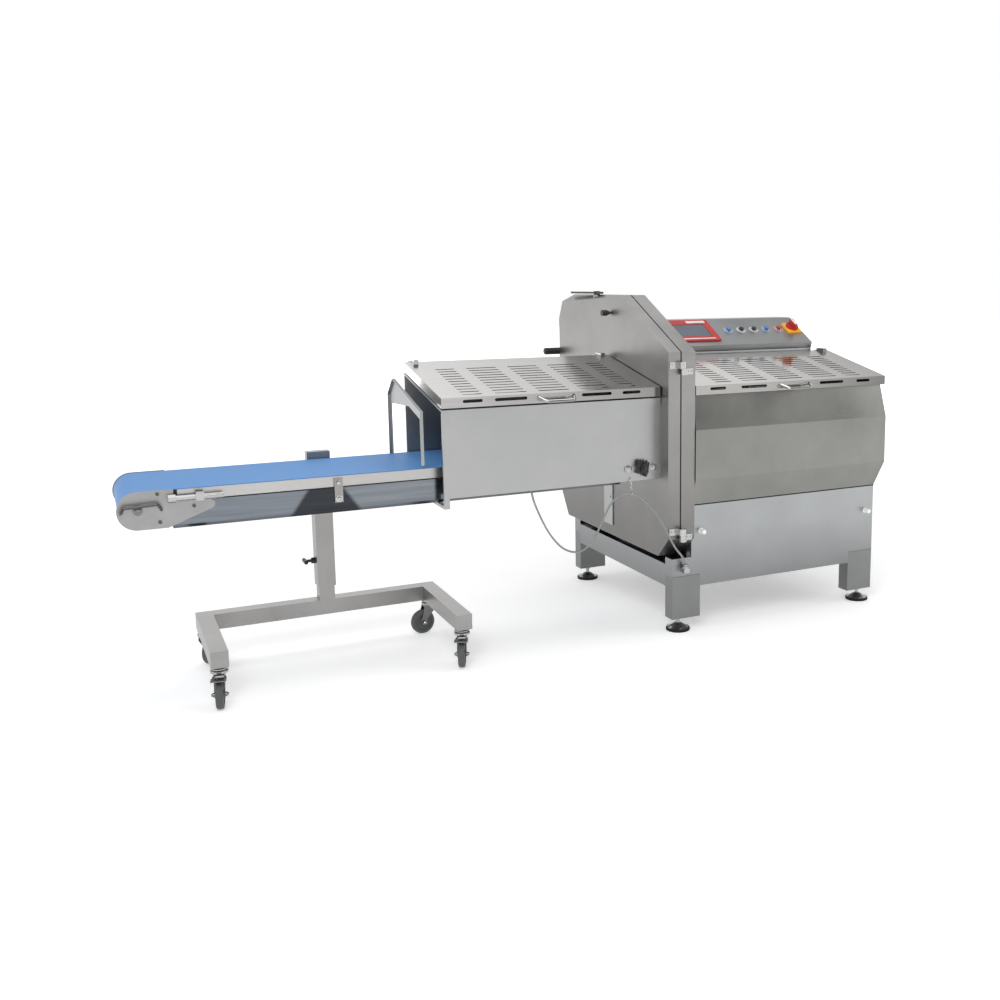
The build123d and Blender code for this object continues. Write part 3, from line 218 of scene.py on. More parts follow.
def brushed_steel(name, dark, light, roughness, along="x", strength=0.05, painted_front_shade=1.0, painted_shade_x=None):
    """Brushed stainless sheet: long fine scratches in one direction.

    The front tone is painted shade on the faces towards the operator; the x tone, (left x, right x, right
    tone), is a painted reflection that darkens the sheet towards the right."""
    material, tree, shader = new_material(name)
    shader.inputs["Metallic"].default_value = 1.0
    stretch = {"x": (3, 700, 700), "y": (700, 3, 700), "z": (700, 700, 3)}[along]
    scratches = noise(tree, coordinates(tree, stretch), 1.0, 4.0, 0.7)
    cloud = noise(tree, coordinates(tree), 2.4, 3.0)
    base = blend_colours(tree, spread(tree, scratches, 0, 1, 0.25, 0.75), dark, light)
    # Painted shade on the faces towards the operator.
    if painted_front_shade != 1.0:
        base = shade_by(tree, base, face_painted_light(tree, "Y", painted_front_shade, 1.0, -0.8, -0.5))
    # Painted reflection: the sheet darkens from left to right, for the darker parts it mirrors.
    if painted_shade_x:
        left, right, painted_tone = painted_shade_x
        start, end = place(left, 0, 0).x, place(right, 0, 0).x
        base = shade_by(tree, base, spread(tree, along_axis(tree, "X"), 1.0, painted_tone, start, end))
    tree.links.new(base, shader.inputs["Base Color"])
    tree.links.new(spread(tree, cloud, roughness - 0.04, roughness + 0.05), shader.inputs["Roughness"])
    bump(tree, shader, scratches, strength, 0.0002)
    return material


def plastic(name, colour, roughness=0.4, grain=0.0, variation=0.12, rubbery=False):
    """Moulded plastic or rubber with a slight change of tone and, if wanted, a fine grain."""
    material, tree, shader = new_material(name)
    vector = coordinates(tree)
    cloud = noise(tree, vector, 14.0, 3.0)
    darker = tuple(channel * (1 - variation) for channel in colour)
    lighter = tuple(min(1.0, channel * (1 + variation)) for channel in colour)
    base = blend_colours(tree, spread(tree, cloud, 0, 1), darker, lighter)
    tree.links.new(base, shader.inputs["Base Color"])
    tree.links.new(spread(tree, cloud, roughness - 0.04, roughness + 0.06), shader.inputs["Roughness"])
    if grain:
        bump(tree, shader, noise(tree, vector, 1400.0, 2.0), grain, 0.0003)
    if rubbery:
        shader.inputs["Specular IOR Level"].default_value = 0.3
    return material


def plated(name, colour, roughness):
    """Chrome or zinc plate, with faint uneven polish."""
    material, tree, shader = new_material(name)
    shader.inputs["Metallic"].default_value = 1.0
    cloud = noise(tree, coordinates(tree), 40.0, 3.0)
    darker = tuple(channel * 0.85 for channel in colour)
    base = blend_colours(tree, spread(tree, cloud, 0, 1), darker, colour)
    tree.links.new(base, shader.inputs["Base Color"])
    tree.links.new(spread(tree, cloud, roughness * 0.7, roughness * 1.4), shader.inputs["Roughness"])
    return material


def end_plate_steel():
    """Satin plate; its screws and wire handle, which stand proud of it, are plated darker."""
    conveyor_middle = place(0, 300, 0).y
    plate_face = 0.2155                      # metres from the conveyor's middle
    material, tree, shader = new_material("satin_end_plate")
    shader.inputs["Metallic"].default_value = 1.0
    cloud = noise(tree, coordinates(tree), 6.0, 4.0)
    plate = blend_colours(tree, spread(tree, cloud, 0, 1), (0.27, 0.27, 0.27), (0.33, 0.33, 0.33))
    distance = distance_from(tree, "Y", conveyor_middle)
    outside = spread(tree, distance, 0, 1, plate_face, plate_face + 0.001)
    tree.links.new(blend_colours(tree, outside, plate, (0.085, 0.085, 0.085)), shader.inputs["Base Color"])
    tree.links.new(spread(tree, outside, 0.36, 0.25, 0, 1), shader.inputs["Roughness"])
    return material


def tray_steel():
    """Polished tray: its dark bluish tone is a painted reflection of the blue belt, and a dark patch, wider
    downwards, is a painted reflection of the support arm.
    """
    arm_middle = place(-1380, 0, 0).x
    patch_slope = 0.7
    patch_edge = 0.733 * patch_slope + 0.055     # half width of 55 mm at the tray's top edge, z 733
    material, tree, shader = new_material("polished_tray")
    shader.inputs["Metallic"].default_value = 1.0
    streaks = noise(tree, coordinates(tree, (1.5, 40, 40)), 1.0, 3.0, 0.6)
    cloud = noise(tree, coordinates(tree), 5.0, 3.0)
    # Painted reflection: the dark bluish tone of the steel.
    dark, light = (0.13, 0.145, 0.165), (0.19, 0.205, 0.225)
    steel = blend_colours(tree, spread(tree, streaks, 0, 1, 0.35, 0.65), dark, light)
    # Painted reflection of the support arm: a dark patch that widens downwards.
    widening = compute(tree, "MULTIPLY", along_axis(tree, "Z"), patch_slope)
    edge = compute(tree, "ADD", distance_from(tree, "X", arm_middle), widening)
    painted_arm_reflection = spread(tree, edge, 0.22, 1.0, patch_edge - 0.004, patch_edge + 0.012)
    tree.links.new(shade_by(tree, steel, painted_arm_reflection), shader.inputs["Base Color"])
    tree.links.new(spread(tree, cloud, 0.1, 0.2), shader.inputs["Roughness"])
    return material


def make_materials():
    return {
        # Painted shade: the panels darken towards the floor.
        "panel": blasted_steel("blasted_panel", (0.28, 0.29, 0.295), (0.36, 0.37, 0.375), 0.36,
                               painted_floor_shade=0.68, painted_shade_heights=(0.2, 0.42)),
        "cladding": blasted_steel("blasted_cladding", (0.155, 0.155, 0.145), (0.225, 0.225, 0.21), 0.32),
        "leg": blasted_steel("blasted_leg", (0.15, 0.155, 0.155), (0.21, 0.215, 0.215), 0.36),
        # Painted shade: the head darkens towards the floor.
        "head": blasted_steel("blasted_head", (0.23, 0.225, 0.22), (0.32, 0.315, 0.305), 0.36,
                              painted_floor_shade=0.6, painted_shade_heights=(0.35, 1.0)),
        "tunnel": blasted_steel("blasted_tunnel", (0.33, 0.335, 0.335), (0.40, 0.405, 0.40), 0.38),
        # Painted highlight on the tubes' faces that look up.
        "tube": blasted_steel("blasted_tube", (0.23, 0.225, 0.22), (0.32, 0.315, 0.31), 0.36, painted_top_highlight=1.6),
        "end": end_plate_steel(),
        "gate": blasted_steel("blasted_gate", (0.26, 0.265, 0.27), (0.34, 0.345, 0.35), 0.36),
        # The two lids are one brushed steel; the infeed lid's copy is darker as painted shade, both darken
        # to the right as painted reflection, and both take painted shade on their front faces.
        "lid": brushed_steel("outfeed_lid_steel", (0.72, 0.71, 0.70), (0.92, 0.905, 0.88), 0.15,
                             painted_front_shade=0.42, painted_shade_x=(-962, -42, 0.62)),
        "lid_in": brushed_steel("infeed_lid_steel", (0.64, 0.63, 0.61), (0.84, 0.82, 0.79), 0.15,
                                painted_front_shade=0.42, painted_shade_x=(350, 1077, 0.5)),
        # Painted shade: the deck is kept very dark for the shade inside the head, seen through the lid
        # slots.
        "deck": blasted_steel("blasted_deck_painted_shade", (0.11, 0.11, 0.11), (0.16, 0.16, 0.16), 0.4),
        "pan": brushed_steel("pan_steel", (0.30, 0.30, 0.30), (0.38, 0.38, 0.38), 0.3),
        "rail": brushed_steel("brushed_rail", (0.38, 0.375, 0.37), (0.46, 0.455, 0.45), 0.3),
        "tray": tray_steel(),
        "ground": brushed_steel("ground_steel", (0.6, 0.6, 0.6), (0.74, 0.74, 0.74), 0.2, along="z"),
        "chrome": plated("chrome", (0.42, 0.42, 0.43), 0.08),
        "zinc": plated("castor_plate", (0.20, 0.20, 0.205), 0.22),
        "bright": plated("bright_alloy", (0.48, 0.48, 0.475), 0.2),
        "motor": plastic("motor_paint", (0.30, 0.32, 0.34), 0.5, 0.1),
        "black": plastic("black_plastic", (0.012, 0.012, 0.013), 0.4, 0.08),
        "seal": plastic("seal_rubber", (0.008, 0.008, 0.008), 0.6, 0.05, rubbery=True),
        "white": plastic("white_plastic", (0.82, 0.82, 0.80), 0.45, 0.03, 0.04),
        "red": plastic("red_plastic", (0.40, 0.018, 0.015), 0.4, 0.02),
        "yellow": plastic("yellow_plastic", (0.80, 0.40, 0.02), 0.4, 0.02),
        "blue": plastic("blue_plastic", (0.05, 0.16, 0.40), 0.35, 0.02),
        "screen": plastic("screen_glass", (0.10, 0.12, 0.15), 0.16, 0.0, 0.05),
        "label": plastic("pale_label", (0.62, 0.60, 0.59), 0.5, 0.0, 0.03),
        "label_blue": plastic("blue_label", (0.26, 0.42, 0.55), 0.5, 0.0, 0.05),
        "label_red": plastic("red_label", (0.62, 0.34, 0.30), 0.5, 0.0, 0.05),
        "belt": plastic("belt_blue", (0.085, 0.245, 0.54), 0.5, 0.25, 0.06, rubbery=True),
        "cable": plastic("cable_grey", (0.22, 0.23, 0.23), 0.45, 0.05, 0.08),
        "tread": plastic("wheel_grey", (0.085, 0.09, 0.09), 0.55, 0.2, 0.15, rubbery=True),
        "hub": plastic("wheel_hub", (0.06, 0.06, 0.062), 0.4, 0.05),
    }


NODE_MATERIALS = {
    "panel": ["lower_panels", "console_housing"],
    "cladding": ["front_cladding", "end_cladding", "rear_cladding"],
    "leg": ["base_frame"],
    "head": ["cutting_head", "door_shell"],
    "tunnel": ["outfeed_tunnel"],
    "tube": ["stand_frame", "conveyor_upright"],
    "end": ["end_plates"],
    "gate": ["exit_gate"],
    "lid": ["outfeed_lid"],
    "lid_in": ["infeed_lid"],
    "deck": ["top_deck"],
    "rail": ["conveyor_frame", "belt_tensioners"],
    "tray": ["conveyor_tray"],
    "ground": ["blade", "blade_hub", "blade_bearing", "feed_rods", "feed_gripper", "drive_drum",
               "tail_roller"],
    "chrome": ["leveling_feet", "cable_gland", "button_rings"],
    "bright": ["frame_hinges", "door_hinges"],
    "motor": ["blade_motor"],
    "black": ["door_grip", "door_lever", "door_knob", "clamp_lever", "interlock_switch", "button_2",
              "button_3"],
    "seal": ["door_seal"],
    "white": ["shear_plate"],
    "red": ["screen_bezel", "switch_knob", "button_5"],
    "yellow": ["switch_plate"],
    "blue": ["button_1", "button_4"],
    "screen": ["touch_screen"],
    "belt": ["conveyor_belt"],
    "cable": ["connection_cable"],
}


EDGE_RADII = {                          # folded and rounded edges, in millimetres
    "door_shell": 2.5, "cutting_head": 2.5, "base_frame": 2.5, "console_housing": 2.5,
    "stand_frame": 3.0, "conveyor_upright": 3.0, "conveyor_frame": 0.9, "belt_tensioners": 0.8,
    "front_cladding": 1.2, "end_cladding": 1.2, "rear_cladding": 1.2, "lower_panels": 0.8,
    "outfeed_tunnel": 0.9, "exit_gate": 0.9, "end_plates": 1.2, "infeed_lid": 0.8, "outfeed_lid": 0.8,
    "screen_bezel": 1.0, "interlock_switch": 1.5, "frame_hinges": 1.0, "door_hinges": 1.0,
    "door_lever": 1.5, "door_knob": 1.5,
}


def soften_edges(piece, width):
    """A small rounded edge where two faces meet sharply."""
    modifier = piece.modifiers.new("edge", "BEVEL")
    modifier.width = width / 1000
    modifier.segments = 2
    modifier.limit_method = "ANGLE"
    modifier.angle_limit = math.radians(40)
    modifier.use_clamp_overlap = True


def paint_nodes(materials):
    """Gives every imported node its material."""
    for name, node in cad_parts.items():
        if name.startswith("wheel_"):
            key = "tread"
        elif name.startswith(("fork_", "pedal_")):
            key = "zinc"
        else:
            key = next(key for key, names in NODE_MATERIALS.items() if name in names)
        node.data.materials.clear()
        node.data.materials.append(materials[key])
        if name in EDGE_RADII:
            soften_edges(node, EDGE_RADII[name])


# ---- Mesh helpers --------------------------------------------------------------------------
def finish_mesh(name, mesh, material, body, bevel=0.0):
    """Turns a bmesh into a smooth-shaded piece that rides on a body."""
    data = bpy.data.meshes.new(name)
    bmesh.ops.recalc_face_normals(mesh, faces=mesh.faces)
    mesh.to_mesh(data)
    mesh.free()
    data.materials.append(material)
    piece = bpy.data.objects.new(name, data)
    bpy.context.scene.collection.objects.link(piece)
    if bevel:
        soften_edges(piece, bevel)
    data.shade_smooth()
    data.set_sharp_from_angle(angle=math.radians(35))
    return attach(piece, body)


def add_box(mesh, x, y, z):
    """A box between lowest and highest x, y and z, in machine millimetres."""
    corners = [mesh.verts.new(place(a, b, c)) for a in x for b in y for c in z]
    for quad in ((0, 1, 3, 2), (4, 6, 7, 5), (0, 4, 5, 1), (2, 3, 7, 6), (0, 2, 6, 4), (1, 5, 7, 3)):
        mesh.faces.new([corners[index] for index in quad])


def add_lathe(mesh, start, direction, profile, segments=32):
    """A turned shape: profile lists (distance along the axis, radius), in millimetres."""
    axis = Vector(direction).normalized()
    side = axis.orthogonal().normalized()
    other = axis.cross(side)
    origin = place(*start)
    rings = []
    for along, radius in profile:
        centre = origin + axis * (along / 1000)
        if radius == 0:
            rings.append([mesh.verts.new(centre)])
            continue
        ring = []
        for step in range(segments):
            angle = 2 * math.pi * step / segments
            out = side * math.cos(angle) + other * math.sin(angle)
            ring.append(mesh.verts.new(centre + out * (radius / 1000)))
        rings.append(ring)
    for near, far in zip(rings, rings[1:]):
        for step in range(segments):
            after = (step + 1) % segments
            if len(near) == 1 and len(far) == 1:
                continue
            if len(near) == 1:
                mesh.faces.new([near[0], far[step], far[after]])
            elif len(far) == 1:
                mesh.faces.new([near[step], far[0], near[after]])
            else:
                mesh.faces.new([near[step], far[step], far[after], near[after]])
    for ring, order in ((rings[0], 1), (rings[-1], -1)):
        if len(ring) > 1:
            mesh.faces.new(ring[::order])


def wire(name, points, radius, material, body, closed=False):
    """A bent round wire along a smooth curve."""
    data = bpy.data.curves.new(name, "CURVE")
    data.dimensions = "3D"
    data.bevel_depth = 1.0                   # times each point's radius
    data.bevel_resolution = 4
    data.resolution_u = 12
    data.use_fill_caps = True
    spline = data.splines.new("NURBS")
    spline.points.add(len(points) - 1)
    for point, (x, y, z) in zip(spline.points, points):
        point.co = (*place(x, y, z), 1)
        point.radius = radius / 1000
    spline.order_u = 3
    spline.use_endpoint_u = not closed
    spline.use_cyclic_u = closed
    data.materials.append(material)
    piece = bpy.data.objects.new(name, data)
    bpy.context.scene.collection.objects.link(piece)
    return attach(piece, body)


# ---- Cable ---------------------------------------------------------------------------------
CABLE_DIAMETER = 8.0
CABLE_ROUTE = [(-600, 66, 690), (-600, 66, 641), (-574, 55, 562), (-531, 47, 471),
               (-470, 41, 401), (-398, 38, 386), (-344, 35, 432), (-305, 32, 512),
               (-264, 29, 590), (-205, 24, 620), (-146, 11, 598), (-93, -18, 536),
               (-53, -42, 456), (-14, -47, 376), (30, -36, 334), (50, -22, 296)]


def make_cable(materials):
    """The grey cable from the conveyor's drive to the gland on the front left leg: its centre line.

    It follows the door at one end and the leg at the other, and bends beside the door's hinges."""
    curve = wire("cable_curve", CABLE_ROUTE, CABLE_DIAMETER / 2, materials["cable"], "base")
    curve.data.resolution_u = 16
    tube = bpy.data.meshes.new_from_object(curve)
    curve.data.bevel_depth = 0
    line = [vertex.co.copy() for vertex in bpy.data.meshes.new_from_object(curve).vertices]
    bpy.data.objects.remove(curve)
    tube.polygons.foreach_set("use_smooth", [True] * len(tube.polygons))
    cable = bpy.data.objects.new("cable", tube)
    bpy.context.scene.collection.objects.link(cable)
    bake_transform(cable)
    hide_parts("connection_cable")
    return line


def make_cable_hook(materials, cable_line):
    """A long wire eye through the tunnel's lower edge, with the cable lying in it."""
    beyond_first_sag = place(-330, 0, 0).x
    hill = [point for point in cable_line if point.x > beyond_first_sag]
    crest = max(hill, key=lambda point: point.z)
    x = (crest.x - cabinet_corner[0]) * 1000 + 24
    y = (crest.y - cabinet_corner[1]) * 1000
    z = crest.z * 1000
    top = 668
    loop = [(x - 1, y - 8, z + 1), (x - 1, y - 6, z - 8), (x, y + 6, z - 8), (x + 1, y + 9, z + 2),
            (x + 1, y + 12, z + 30), (x, 40, top - 8), (x, 45, top), (x, 39, top + 6), (x, 34, top),
            (x - 1, y + 2, z + 34)]
    wire("cable_hook", loop, 1.6, materials["bright"], "door", closed=True)


# ---- Small parts ---------------------------------------------------------------------------
CABINET_LENGTH = 1053
CABINET_DEPTH = 976
LEG_WIDTH = 134
LEG_DEPTH = 62
LEG_TOP = 240


def cap_screw(mesh, start, direction, radius, height):
    """A domed screw head with a recess."""
    profile = [(0, radius), (height * 0.55, radius), (height * 0.85, radius * 0.86), (height, radius * 0.55),
               (height, radius * 0.42), (height * 0.5, radius * 0.38), (height * 0.5, 0)]
    add_lathe(mesh, start, direction, profile, 24)


def make_pegs(materials):
    """Two white pegs on the front panel."""
    mesh = bmesh.new()
    for x in (136, 1008):
        profile = [(0, 0), (0, 12), (3, 12), (4, 8.5), (22, 8.5), (23, 10), (29, 10), (31, 8), (31.5, 0)]
        add_lathe(mesh, (x, 0, 426), (0, -1, 0), profile)
    finish_mesh("panel_pegs", mesh, materials["white"], "base")


def make_seams(materials):
    """Black strips: painted shadow in the gap under the cladding, and dark joints where the panels end on
    the legs.
    """
    mesh = bmesh.new()
    gap = 0.35
    # Painted shadow: the strips under the cladding stand for the shade in its gap.
    under_cladding = (536.5, 541.5)
    on_legs = (LEG_TOP - 0.6, LEG_TOP + 0.6)
    right_of_head = (91, CABINET_LENGTH + 0.3)
    add_box(mesh, right_of_head, (-gap, 0.5), under_cladding)
    add_box(mesh, (CABINET_LENGTH - 0.5, CABINET_LENGTH + gap), (0, CABINET_DEPTH), under_cladding)
    add_box(mesh, right_of_head, (CABINET_DEPTH - 0.5, CABINET_DEPTH + gap), under_cladding)
    for x in ((0, LEG_WIDTH), (CABINET_LENGTH - LEG_WIDTH, CABINET_LENGTH)):
        add_box(mesh, x, (-gap / 2, 0.5), on_legs)
        add_box(mesh, x, (CABINET_DEPTH - 0.5, CABINET_DEPTH + gap / 2), on_legs)
    finish_mesh("seams_and_shadow_gaps", mesh, materials["seal"], "base")


def make_bottom_pan(materials):
    """A guessed bottom sheet that closes the cabinet just under the tops of the legs."""
    mesh = bmesh.new()
    inset = 3
    level = (LEG_TOP - 4, LEG_TOP - 2)
    between_legs_y = (LEG_DEPTH, CABINET_DEPTH - LEG_DEPTH)
    add_box(mesh, (inset, LEG_WIDTH), between_legs_y, level)
    add_box(mesh, (LEG_WIDTH, CABINET_LENGTH - LEG_WIDTH), (inset, CABINET_DEPTH - inset), level)
    add_box(mesh, (CABINET_LENGTH - LEG_WIDTH, CABINET_LENGTH - inset), between_legs_y, level)
    finish_mesh("bottom_pan", mesh, materials["pan"], "base")


def make_foot_rings(materials):
    """A black rubber ring round each foot pad."""
    mesh = bmesh.new()
    for x in (48, 1005):
        for y in (37, 939):
            profile = [(0, 50.4), (0.5, 51), (9, 51), (11.5, 49), (11.5, 46)]
            add_lathe(mesh, (x, y, 0.2), (0, 0, 1), profile, 48)
    finish_mesh("foot_rings", mesh, materials["seal"], "base")


def make_link_bolts(materials):
    """Bolts with washers on the link plate, and thin black strips on the rail, painted shadow in the gap
    between rail and tray.
    """
    mesh = bmesh.new()
    for z, washer in ((748, 8), (690, 13)):
        add_lathe(mesh, (-1335, 84, z), (0, -1, 0), [(0, washer), (2.4, washer), (3.2, washer - 1)], 32)
        cap_screw(mesh, (-1335, 80.8, z), (0, -1, 0), 8, 5)
    finish_mesh("link_bolts", mesh, materials["bright"], "door")
    # Painted shadow: black strips where the rail meets the tray.
    mesh = bmesh.new()
    add_box(mesh, (-1750, -192), (90.6, 91.8), (729, 733.4))
    add_box(mesh, (-1890, -1872), (90.4, 92), (752, 771.4))
    finish_mesh("rail_painted_shadow", mesh, materials["seal"], "door")


def make_axle_caps(materials):
    """A domed cap screw with a recess in each end of the tail roller's axle."""
    low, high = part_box("tail_roller")
    x = ((low[0] + high[0]) / 2 - cabinet_corner[0]) * 1000
    z = (low[2] + high[2]) / 2 * 1000
    mesh = bmesh.new()
    for y, side in ((low[1], -1), (high[1], 1)):
        end = (y - cabinet_corner[1]) * 1000
        add_lathe(mesh, (x, end, z), (0, side, 0), [(0, 15.5), (1.5, 15.5), (2, 14.5)], 32)
        cap_screw(mesh, (x, end + side * 1.8, z), (0, side, 0), 11, 5)
    finish_mesh("axle_caps", mesh, materials["zinc"], "tail_roller")


def make_door_cover(materials):
    """The vertical cover strip low on the door, with its two screws."""
    mesh = bmesh.new()
    add_box(mesh, (-42, -37), (476, 560), (372, 656))
    finish_mesh("door_cover_strip", mesh, materials["tunnel"], "door", bevel=1.2)
    mesh = bmesh.new()
    cap_screw(mesh, (-42, 494, 500), (-1, 0, 0), 5, 3)
    cap_screw(mesh, (-42, 494, 610), (-1, 0, 0), 5, 3)
    finish_mesh("door_cover_screws", mesh, materials["bright"], "door")


def make_strap_parts(materials):
    """Screws on the tunnel's strap, and the lever and ribbed boot of the safety switch."""
    mesh = bmesh.new()
    for x in (-184, -70):
        add_lathe(mesh, (x, 36, 709), (0, -1, 0), [(0, 13), (1.6, 13), (2.2, 12)], 32)
        cap_screw(mesh, (x, 34, 709), (0, -1, 0), 8, 5)
    finish_mesh("strap_screws", mesh, materials["bright"], "door")
    mesh = bmesh.new()
    for index in range(4):
        x = -146 + index * 12
        add_lathe(mesh, (x, 24, 726), (0, 0, 1), [(0, 4.5), (13, 4.5), (16, 3), (17, 0)], 16)
        add_lathe(mesh, (x, 24, 732), (0, 0, 1), [(0, 5.5), (3, 5.5)], 16)
    lever = [(0, 0), (0, 7), (4, 8.5), (50, 7), (60, 5), (62, 0)]
    add_lathe(mesh, (-106, 20, 735), (-0.18, 0.0, -1), lever, 20)
    finish_mesh("switch_boots", mesh, materials["black"], "door")


def make_hinge_screws(materials):
    """Two small screws in each leaf of the head's hinges."""
    mesh = bmesh.new()
    for z in (1100, 415):
        for x in (52, 68):
            cap_screw(mesh, (x, -31, z), (0, -1, 0), 4, 2)
    finish_mesh("frame_hinge_screws", mesh, materials["bright"], "base")
    mesh = bmesh.new()
    for z in (1127, 443):
        for x in (-24, -8):
            cap_screw(mesh, (x, -31, z), (0, -1, 0), 4, 2)
    finish_mesh("door_hinge_screws", mesh, materials["bright"], "door")


CONTROL_POINT = (513.4, 1232.7)          # y, z of the line through the controls, on the panel
BUTTON_X = (590, 661, 732, 803, 874)


def add_panel_plate(mesh, x, up, width, height, lift, thickness, corner=2.0):
    """A thin rounded plate on the sloping panel: 'up' is its middle, measured up the slope."""
    slope = Vector((0, 600 - 411, 1284 - 1172)).normalized()
    normal = Vector((0, -slope.z, slope.y))
    middle = Vector((x, *CONTROL_POINT)) + slope * up
    outline = []
    for sign_x, sign_y, first in ((1, 1, 0), (-1, 1, 90), (-1, -1, 180), (1, -1, 270)):
        for step in range(5):
            angle = math.radians(first + 22.5 * step)
            across = sign_x * (width / 2 - corner) + corner * math.cos(angle)
            along = sign_y * (height / 2 - corner) + corner * math.sin(angle)
            outline.append((across, along))
    rings = []
    for level in (lift, lift + thickness):
        ring = []
        for across, along in outline:
            point = middle + Vector((across, 0, 0)) + slope * along + normal * level
            ring.append(mesh.verts.new(place(*point)))
        rings.append(ring)
    mesh.faces.new(rings[0][::-1])
    mesh.faces.new(rings[1])
    for step in range(len(outline)):
        after = (step + 1) % len(outline)
        mesh.faces.new([rings[0][step], rings[0][after], rings[1][after], rings[1][step]])


def make_console_parts(materials):
    """Blank legend plates round the buttons and plain pale strips on the red frame."""
    plates = {"label_blue": (0, 3), "label": (1, 2), "label_red": (4,)}
    for key, indices in plates.items():
        mesh = bmesh.new()
        for index in indices:
            add_panel_plate(mesh, BUTTON_X[index], 0, 46, 46, 0.1, 1.0, 22.9)
        finish_mesh("legend_" + key, mesh, materials[key], "base")
    mesh = bmesh.new()
    add_panel_plate(mesh, 440, 67, 100, 18, 7.0, 0.5)
    add_panel_plate(mesh, 368, -70, 230, 8, 7.0, 0.5)
    finish_mesh("bezel_strips", mesh, materials["label"], "base")
    mesh = bmesh.new()
    add_panel_plate(mesh, 950, 0, 8, 44, 39.4, 1.2)
    finish_mesh("switch_pointer", mesh, materials["white"], "switch_knob")


STEM_X = {"left": -1778, "right": -897}
STEM_Y = {"front": 62, "rear": 500}
CASTOR_HEADINGS = {"front_left": -100, "front_right": -112, "rear_left": 55, "rear_right": 188}
CASTOR_TRAIL = 30
WHEEL_RADIUS = 50


def castor_place(name):
    """The stem of a castor and the direction in which its wheel trails."""
    row, side = name.split("_")
    angle = math.radians(CASTOR_HEADINGS[name])
    return Vector((STEM_X[side], STEM_Y[row], 0)), Vector((math.cos(angle), math.sin(angle), 0))


def make_castor_parts(materials):
    """Hubs in the wheels, and axle nuts and bearing rings on the forks."""
    hub_profile = [(0, 36), (1.5, 35.5), (2.2, 30), (1.2, 27), (1.2, 17), (3.5, 15), (4.4, 12), (4.4, 5.3)]
    nut_profile = [(0, 6.5), (4, 6.5), (5, 5), (5, 0)]
    rings = ((120.5, [(0, 29), (2, 31), (9, 31), (11, 29)]), (133, [(0, 27), (2, 28.5), (5, 28.5), (7, 26)]))
    for name in CASTOR_HEADINGS:
        stem, trail = castor_place(name)
        across = Vector((-trail.y, trail.x, 0))
        axle = stem + trail * CASTOR_TRAIL + Vector((0, 0, WHEEL_RADIUS))
        hub = bmesh.new()
        trim = bmesh.new()
        for side in (-1, 1):
            add_lathe(hub, tuple(axle + across * side * 8.5), tuple(across * side), hub_profile, 40)
            add_lathe(trim, tuple(axle + across * side * 24), tuple(across * side), nut_profile, 6)
        for height, profile in rings:
            add_lathe(trim, tuple(stem + Vector((0, 0, height))), (0, 0, 1), profile, 40)
        finish_mesh("hub_" + name, hub, materials["hub"], "wheel_" + name)
        finish_mesh("fork_trim_" + name, trim, materials["chrome"], "fork_" + name)


def make_small_parts(materials):
    make_pegs(materials)
    make_seams(materials)
    make_bottom_pan(materials)
    make_foot_rings(materials)
    make_link_bolts(materials)
    make_axle_caps(materials)
    make_door_cover(materials)
    make_strap_parts(materials)
    make_hinge_screws(materials)
    make_console_parts(materials)
    make_castor_parts(materials)


# ---- Studio --------------------------------------------------------------------------------
def make_floor():
    """A pale floor that isn't part of the machine; it glows, and more so far out."""
    data = bpy.data.meshes.new("floor")
    half = 30.0
    corners = [(-half, -half, 0), (half, -half, 0), (half, half, 0), (-half, half, 0)]
    data.from_pydata(corners, [], [(0, 1, 2, 3)])
    material, tree, shader = new_material("floor_paper")
    shade = noise(tree, coordinates(tree), 1.5, 2.0)
    paper = blend_colours(tree, shade, (0.90, 0.90, 0.90), (0.92, 0.92, 0.92))
    tree.links.new(paper, shader.inputs["Base Color"])
    tree.links.new(paper, shader.inputs["Emission Color"])
    from_middle = tree.nodes.new("ShaderNodeVectorMath")
    from_middle.operation = "LENGTH"
    tree.links.new(coordinates(tree), from_middle.inputs[0])
    glow = spread(tree, from_middle.outputs["Value"], 0.34, 1.2, 2.5, 7.0)
    tree.links.new(glow, shader.inputs["Emission Strength"])
    shader.inputs["Specular IOR Level"].default_value = 0.1
    shader.inputs["Roughness"].default_value = 0.7
    data.materials.append(material)
    floor = bpy.data.objects.new("floor", data)
    bpy.context.scene.collection.objects.link(floor)


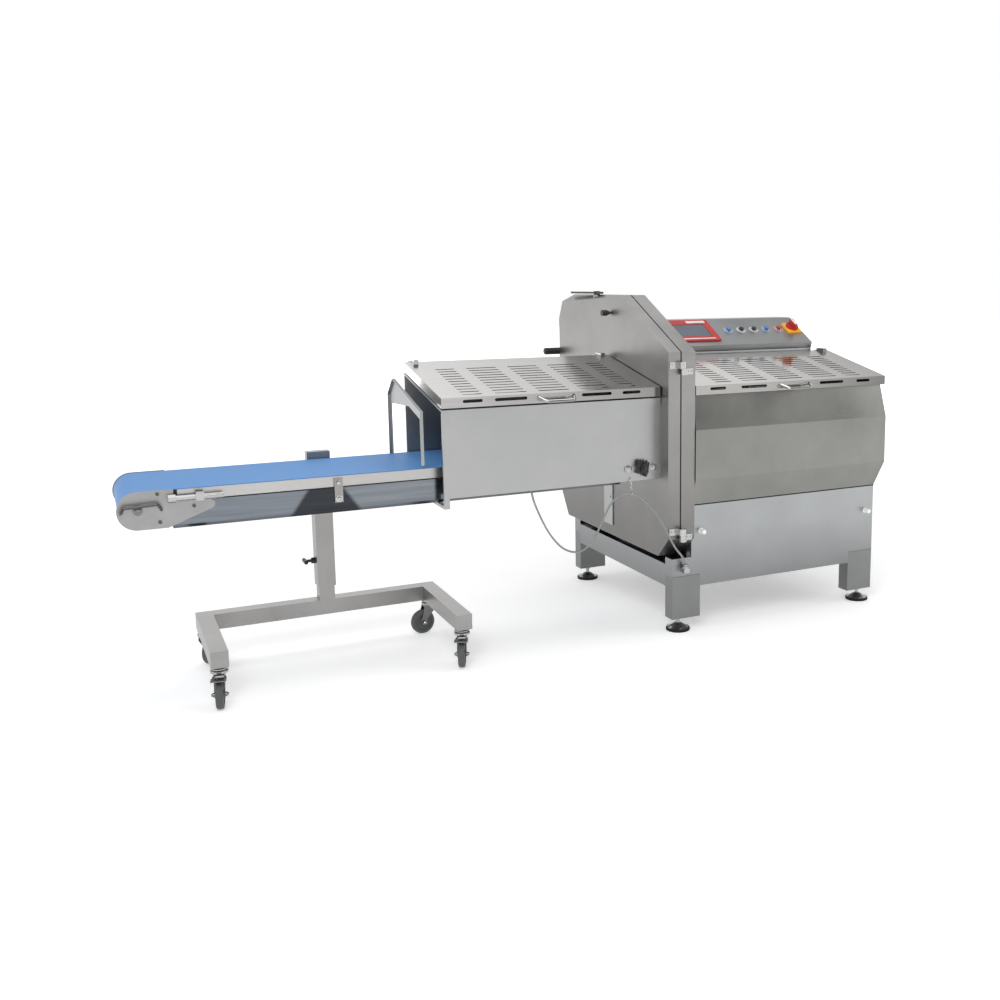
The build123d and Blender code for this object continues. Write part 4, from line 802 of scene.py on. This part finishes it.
def add_area_light(name, position, target, size, power):
    """A soft rectangular lamp that points at a place on the machine."""
    data = bpy.data.lights.new(name, "AREA")
    data.shape = "RECTANGLE"
    data.size, data.size_y = size
    data.energy = power
    lamp = bpy.data.objects.new(name, data)
    lamp.location = place(*position)
    aim = place(*target) - lamp.location
    lamp.rotation_euler = aim.to_track_quat("-Z", "Y").to_euler()
    bpy.context.scene.collection.objects.link(lamp)


def make_world():
    """A white studio that darkens above and behind the camera, so that bent sheet shows its faces."""
    world = bpy.data.worlds.new("studio")
    bpy.context.scene.world = world
    world.use_nodes = True
    tree = world.node_tree
    background = tree.nodes["Background"]
    source = tree.nodes.new("ShaderNodeTexCoord")
    parts = tree.nodes.new("ShaderNodeSeparateXYZ")
    tree.links.new(source.outputs["Generated"], parts.inputs["Vector"])
    height = spread(tree, parts.outputs["Z"], 0, 1, -0.05, 1.0)
    ramp = tree.nodes.new("ShaderNodeValToRGB")
    stops = ((0.0, 1.0), (0.30, 1.0), (0.42, 0.75), (0.62, 0.95), (0.85, 0.45), (1.0, 0.3))
    while len(ramp.color_ramp.elements) < len(stops):
        ramp.color_ramp.elements.new(0.5)
    for element, (position, shade) in zip(ramp.color_ramp.elements, stops):
        element.position = position
        element.color = (shade, shade, shade, 1)
    tree.links.new(height, ramp.inputs["Fac"])
    behind = spread(tree, parts.outputs["Y"], 0.45, 1.0, -0.7, 0.1)
    tree.links.new(shade_by(tree, ramp.outputs["Color"], behind), background.inputs["Color"])
    background.inputs["Strength"].default_value = 1.0


def make_lights():
    add_area_light("key", (-2600, -3200, 3600), (-200, 300, 800), (2.5, 2.5), 110)
    add_area_light("top", (-300, 600, 4200), (-300, 400, 700), (4.0, 2.5), 60)
    add_area_light("right", (3600, -1800, 2200), (500, 300, 700), (2.0, 2.5), 30)


# ---- Assembly ------------------------------------------------------------------------------
def main():
    make_camera()
    bpy.context.scene.view_settings.view_transform = "Standard"
    materials = make_materials()
    paint_nodes(materials)
    cable_line = make_cable(materials)
    make_cable_hook(materials, cable_line)
    make_small_parts(materials)
    make_floor()
    make_world()
    make_lights()


main()
